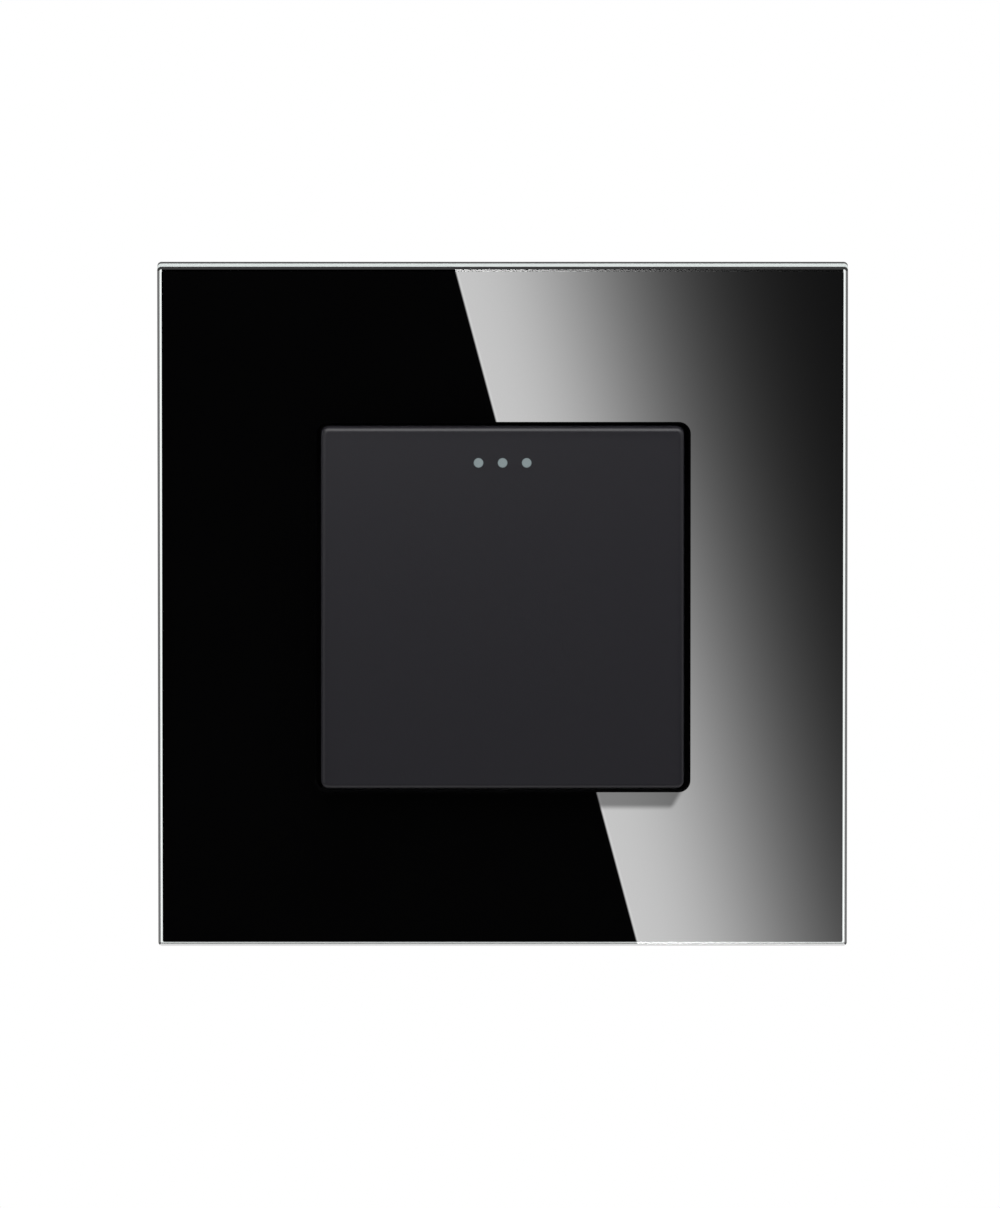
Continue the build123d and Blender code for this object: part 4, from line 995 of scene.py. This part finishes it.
def card_point(px, py):
    # the point of the card that the glass mirrors to the camera at a pixel
    sight = glass_point(px, py) - mirror_eye
    return mirror_eye + sight * ((CARD_Y - mirror_eye.y) / sight.y)


def stage_sheet(name, corners, material):
    mesh = bpy.data.meshes.new(name)
    mesh.from_pydata(corners, [], [range(len(corners))])
    mesh.materials.append(material)
    sheet = bpy.data.objects.new(name, mesh)
    bpy.context.scene.collection.objects.link(sheet)
    return sheet


def mirror_only(sheet):
    sheet.visible_camera = False
    sheet.visible_diffuse = False
    sheet.visible_transmission = False
    sheet.visible_shadow = False


def mirror_material(name):
    # an empty material that lights nothing, and the value that is 1 in polished surfaces
    material = bpy.data.materials.new(name)
    material.use_nodes = True
    material.cycles.emission_sampling = "NONE"
    tree = material.node_tree
    tree.nodes.clear()
    return material, tree, tree.nodes.new("ShaderNodeLightPath").outputs["Is Singular Ray"]


def emission(tree, strength):
    node = tree.nodes.new("ShaderNodeEmission")
    feed(tree, node.inputs["Strength"], strength)
    return node.outputs[0]


def show(tree, shader):
    feed(tree, tree.nodes.new("ShaderNodeOutputMaterial").inputs["Surface"], shader)


edge_top, edge_foot = card_point(*EDGE_TOP_PX), card_point(*EDGE_FOOT_PX)
edge_on_glass = glass_point(*EDGE_TOP_PX) - glass_point(*EDGE_FOOT_PX)
card_scale = (edge_top - edge_foot).length / edge_on_glass.length
along = (edge_top - edge_foot).normalized()
sideways = Vector((along.z, 0.0, -along.x))
card_material, tree, sharp = mirror_material("softbox")
x, _, z = axes_of(tree)
from_foot = calc(tree, "MULTIPLY", calc(tree, "SUBTRACT", x, edge_foot.x), sideways.x)
height = calc(tree, "SUBTRACT", z, edge_foot.z)
from_edge = calc(tree, "MULTIPLY_ADD", height, sideways.z, from_foot)
fade = calc(tree, "DIVIDE", from_edge, CARD_FADE * card_scale)
glow = calc(tree, "EXPONENT", calc(tree, "MULTIPLY", calc(tree, "MULTIPLY", fade, fade), -1.0))
tail = calc(tree, "EXPONENT", calc(tree, "DIVIDE", from_edge, -TAIL_FADE * card_scale))
tail = calc(tree, "MULTIPLY", tail, TAIL_SHARE)
glow = calc(tree, "MULTIPLY_ADD", glow, 1.0 - TAIL_SHARE, tail)
rim_light = calc(tree, "MULTIPLY_ADD", ramp(tree, from_edge, RIM_WIDTH, 0.0), RIM_GAIN, 1.0)
inside = ramp(tree, from_edge, 0.0, EDGE_SOFT)
band_top, band_foot = card_point(*BAND_TOP_PX), card_point(*BAND_FOOT_PX)
lean = (band_top.x - band_foot.x) / (band_top.z - band_foot.z)
above_band = calc(tree, "SUBTRACT", z, band_foot.z)
band_side = calc(tree, "SUBTRACT", x, calc(tree, "MULTIPLY_ADD", above_band, lean, band_foot.x))
# the dimmer band is a painted shadow: mirrored in the glass, it shows as the key's shadow under it
painted_shadow_band = ramp(tree, band_side, BAND_SOFT, -BAND_SOFT)
for start, end in (
    (band_foot.z - BAND_SOFT, band_foot.z + BAND_SOFT),
    (band_top.z + BAND_SOFT, band_top.z - BAND_SOFT),
):
    painted_shadow_band = calc(tree, "MULTIPLY", painted_shadow_band, ramp(tree, z, start, end))
undimmed = calc(tree, "MULTIPLY_ADD", painted_shadow_band, -SHADOW_BAND_DIM, 1.0)
for share in (rim_light, undimmed, inside, sharp, CARD_STRENGTH):
    glow = calc(tree, "MULTIPLY", glow, share)
show(tree, emission(tree, glow))
card_top = edge_top + along * CARD_ENDS
card_foot = edge_foot - along * CARD_ENDS
mirror_only(stage_sheet("softbox", [
    card_foot, card_top, card_top + sideways * CARD_REACH, card_foot + sideways * CARD_REACH
], card_material))


# Flags and cards: sheets that only reflections see. Black flags keep the polished or the satin
# surfaces dark, and bright cards give the light line on the key's rim and the lines that the
# arrises draw round the glass.
def flag_cloth(name, sharp_share, satin_share):
    # the shares are how much it hides of the polished and of the satin reflections
    material, tree, sharp = mirror_material(name)
    hidden = calc(tree, "MULTIPLY_ADD", sharp, sharp_share - satin_share, satin_share)
    blend = tree.nodes.new("ShaderNodeMixShader")
    feed(tree, blend.inputs[0], hidden)
    feed(tree, blend.inputs[1], tree.nodes.new("ShaderNodeBsdfTransparent").outputs[0])
    feed(tree, blend.inputs[2], emission(tree, 0.0))
    show(tree, blend.outputs[0])
    return material


def glow_card(name, sharp_strength, satin_strength):
    material, tree, sharp = mirror_material(name)
    gain = sharp_strength - satin_strength
    show(tree, emission(tree, calc(tree, "MULTIPLY_ADD", sharp, gain, satin_strength)))
    return material


def square_to(axis, place, low, high):
    # the corners of a rectangle square to one axis, between two corners on the other two
    flat = ((low[0], low[1]), (high[0], low[1]), (high[0], high[1]), (low[0], high[1]))
    return [(*corner[:axis], place, *corner[axis:]) for corner in flat]


X_AXIS, Y_AXIS, Z_AXIS = range(3)
polish_flag = flag_cloth("flag for polish", 1.0, 0.0)
satin_flag = flag_cloth("flag for satin", 0.0, 1.0)
overhead_glow = glow_card("overhead glow", 1.0, 2.5)
lower_glow = glow_card("lower glow", 10.0, 0.0)
arris_glow = glow_card("arris glow", 3.2, 0.0)
for name, axis, place, low, high, material in (
    ("glass flag", Y_AXIS, CARD_Y - 0.005, (-0.4, -0.4), (0.4, 0.3), polish_flag),
    ("key flag", Y_AXIS, -0.1, (-0.3, -0.4), (0.3, 0.012), satin_flag),
    ("side flag", X_AXIS, -0.25, (-0.3, -0.3), (0.3, 0.3), satin_flag),
    ("overhead card", Z_AXIS, 0.4, (-0.4, -0.5), (0.4, 0.2), overhead_glow),
    ("lower card", Z_AXIS, -0.115, (-0.1, -0.012), (0.1, 0.02), lower_glow),
    ("left card", X_AXIS, -0.24, (-0.03, -0.11), (0.01, 0.02), arris_glow),
    ("right card", X_AXIS, 0.24, (-0.03, -0.11), (0.01, 0.02), arris_glow),
):
    mirror_only(stage_sheet(name, square_to(axis, place, low, high), material))

# Floor: a pale matt table top below the switch, round, and fading out before it reaches the
# picture. It is a sheet with no thickness that isn't seen from below.
FLOOR_Z = -0.12
FLOOR_RADIUS = 0.2
FLOOR_FADE = 0.09
FLOOR_SIDES = 64
FLOOR_WHITE = (0.86, 0.86, 0.86)
floor_material, tree, surface = new_material("floor", FLOOR_WHITE, rough=0.8)
x, y, _ = axes_of(tree)
cover = ramp(tree, distance(tree, x, y), FLOOR_RADIUS, FLOOR_RADIUS - FLOOR_FADE)
from_below = tree.nodes.new("ShaderNodeNewGeometry").outputs["Backfacing"]
cover = calc(tree, "SUBTRACT", cover, from_below)
feed(tree, surface["Alpha"], calc(tree, "MAXIMUM", cover, 0.0))
floor_angles = [2 * pi * side / FLOOR_SIDES for side in range(FLOOR_SIDES)]
stage_sheet("floor", [
    (FLOOR_RADIUS * cos(angle), FLOOR_RADIUS * sin(angle), FLOOR_Z) for angle in floor_angles
], floor_material)


# Lamps: a large softbox above the plate, a fill from the left and one behind for the rear. The
# rear one isn't mirrored, so the zinc keeps its tone.
def lamp(name, place, power, size):
    data = bpy.data.lights.new(name, "AREA")
    data.energy = power
    data.size = size
    light = bpy.data.objects.new(name, data)
    bpy.context.scene.collection.objects.link(light)
    light.location = place
    light.rotation_mode = "QUATERNION"
    light.rotation_quaternion = (-Vector(place)).to_track_quat("-Z", "Y")
    return light


lamp("top softbox", (0.0, -0.45, 0.65), 3.3, 0.6)
lamp("left fill", (-0.7, -0.5, 0.1), 1.5, 0.5)
lamp("rear fill", (0.3, 0.8, 0.5), 2.5, 0.6).visible_glossy = False

# World: white where it is seen, mirrored or looked at through the glass, and about half as
# bright as a light, which keeps the dark plastics dark.
WORLD_LIGHT = 0.55
world = bpy.data.worlds.new("studio")
bpy.context.scene.world = world
world.use_nodes = True
tree = world.node_tree
background = tree.nodes["Background"]
WHITE = (1.0, 1.0, 1.0)
feed(tree, background.inputs["Color"], WHITE)
ray = tree.nodes.new("ShaderNodeLightPath").outputs
seen = calc(tree, "MAXIMUM", ray["Is Camera Ray"], ray["Is Glossy Ray"])
seen = calc(tree, "MAXIMUM", seen, ray["Is Transmission Ray"])
brightness = calc(tree, "MULTIPLY_ADD", seen, 1.0 - WORLD_LIGHT, WORLD_LIGHT)
feed(tree, background.inputs["Strength"], brightness)

bpy.context.scene.view_settings.view_transform = "Standard"
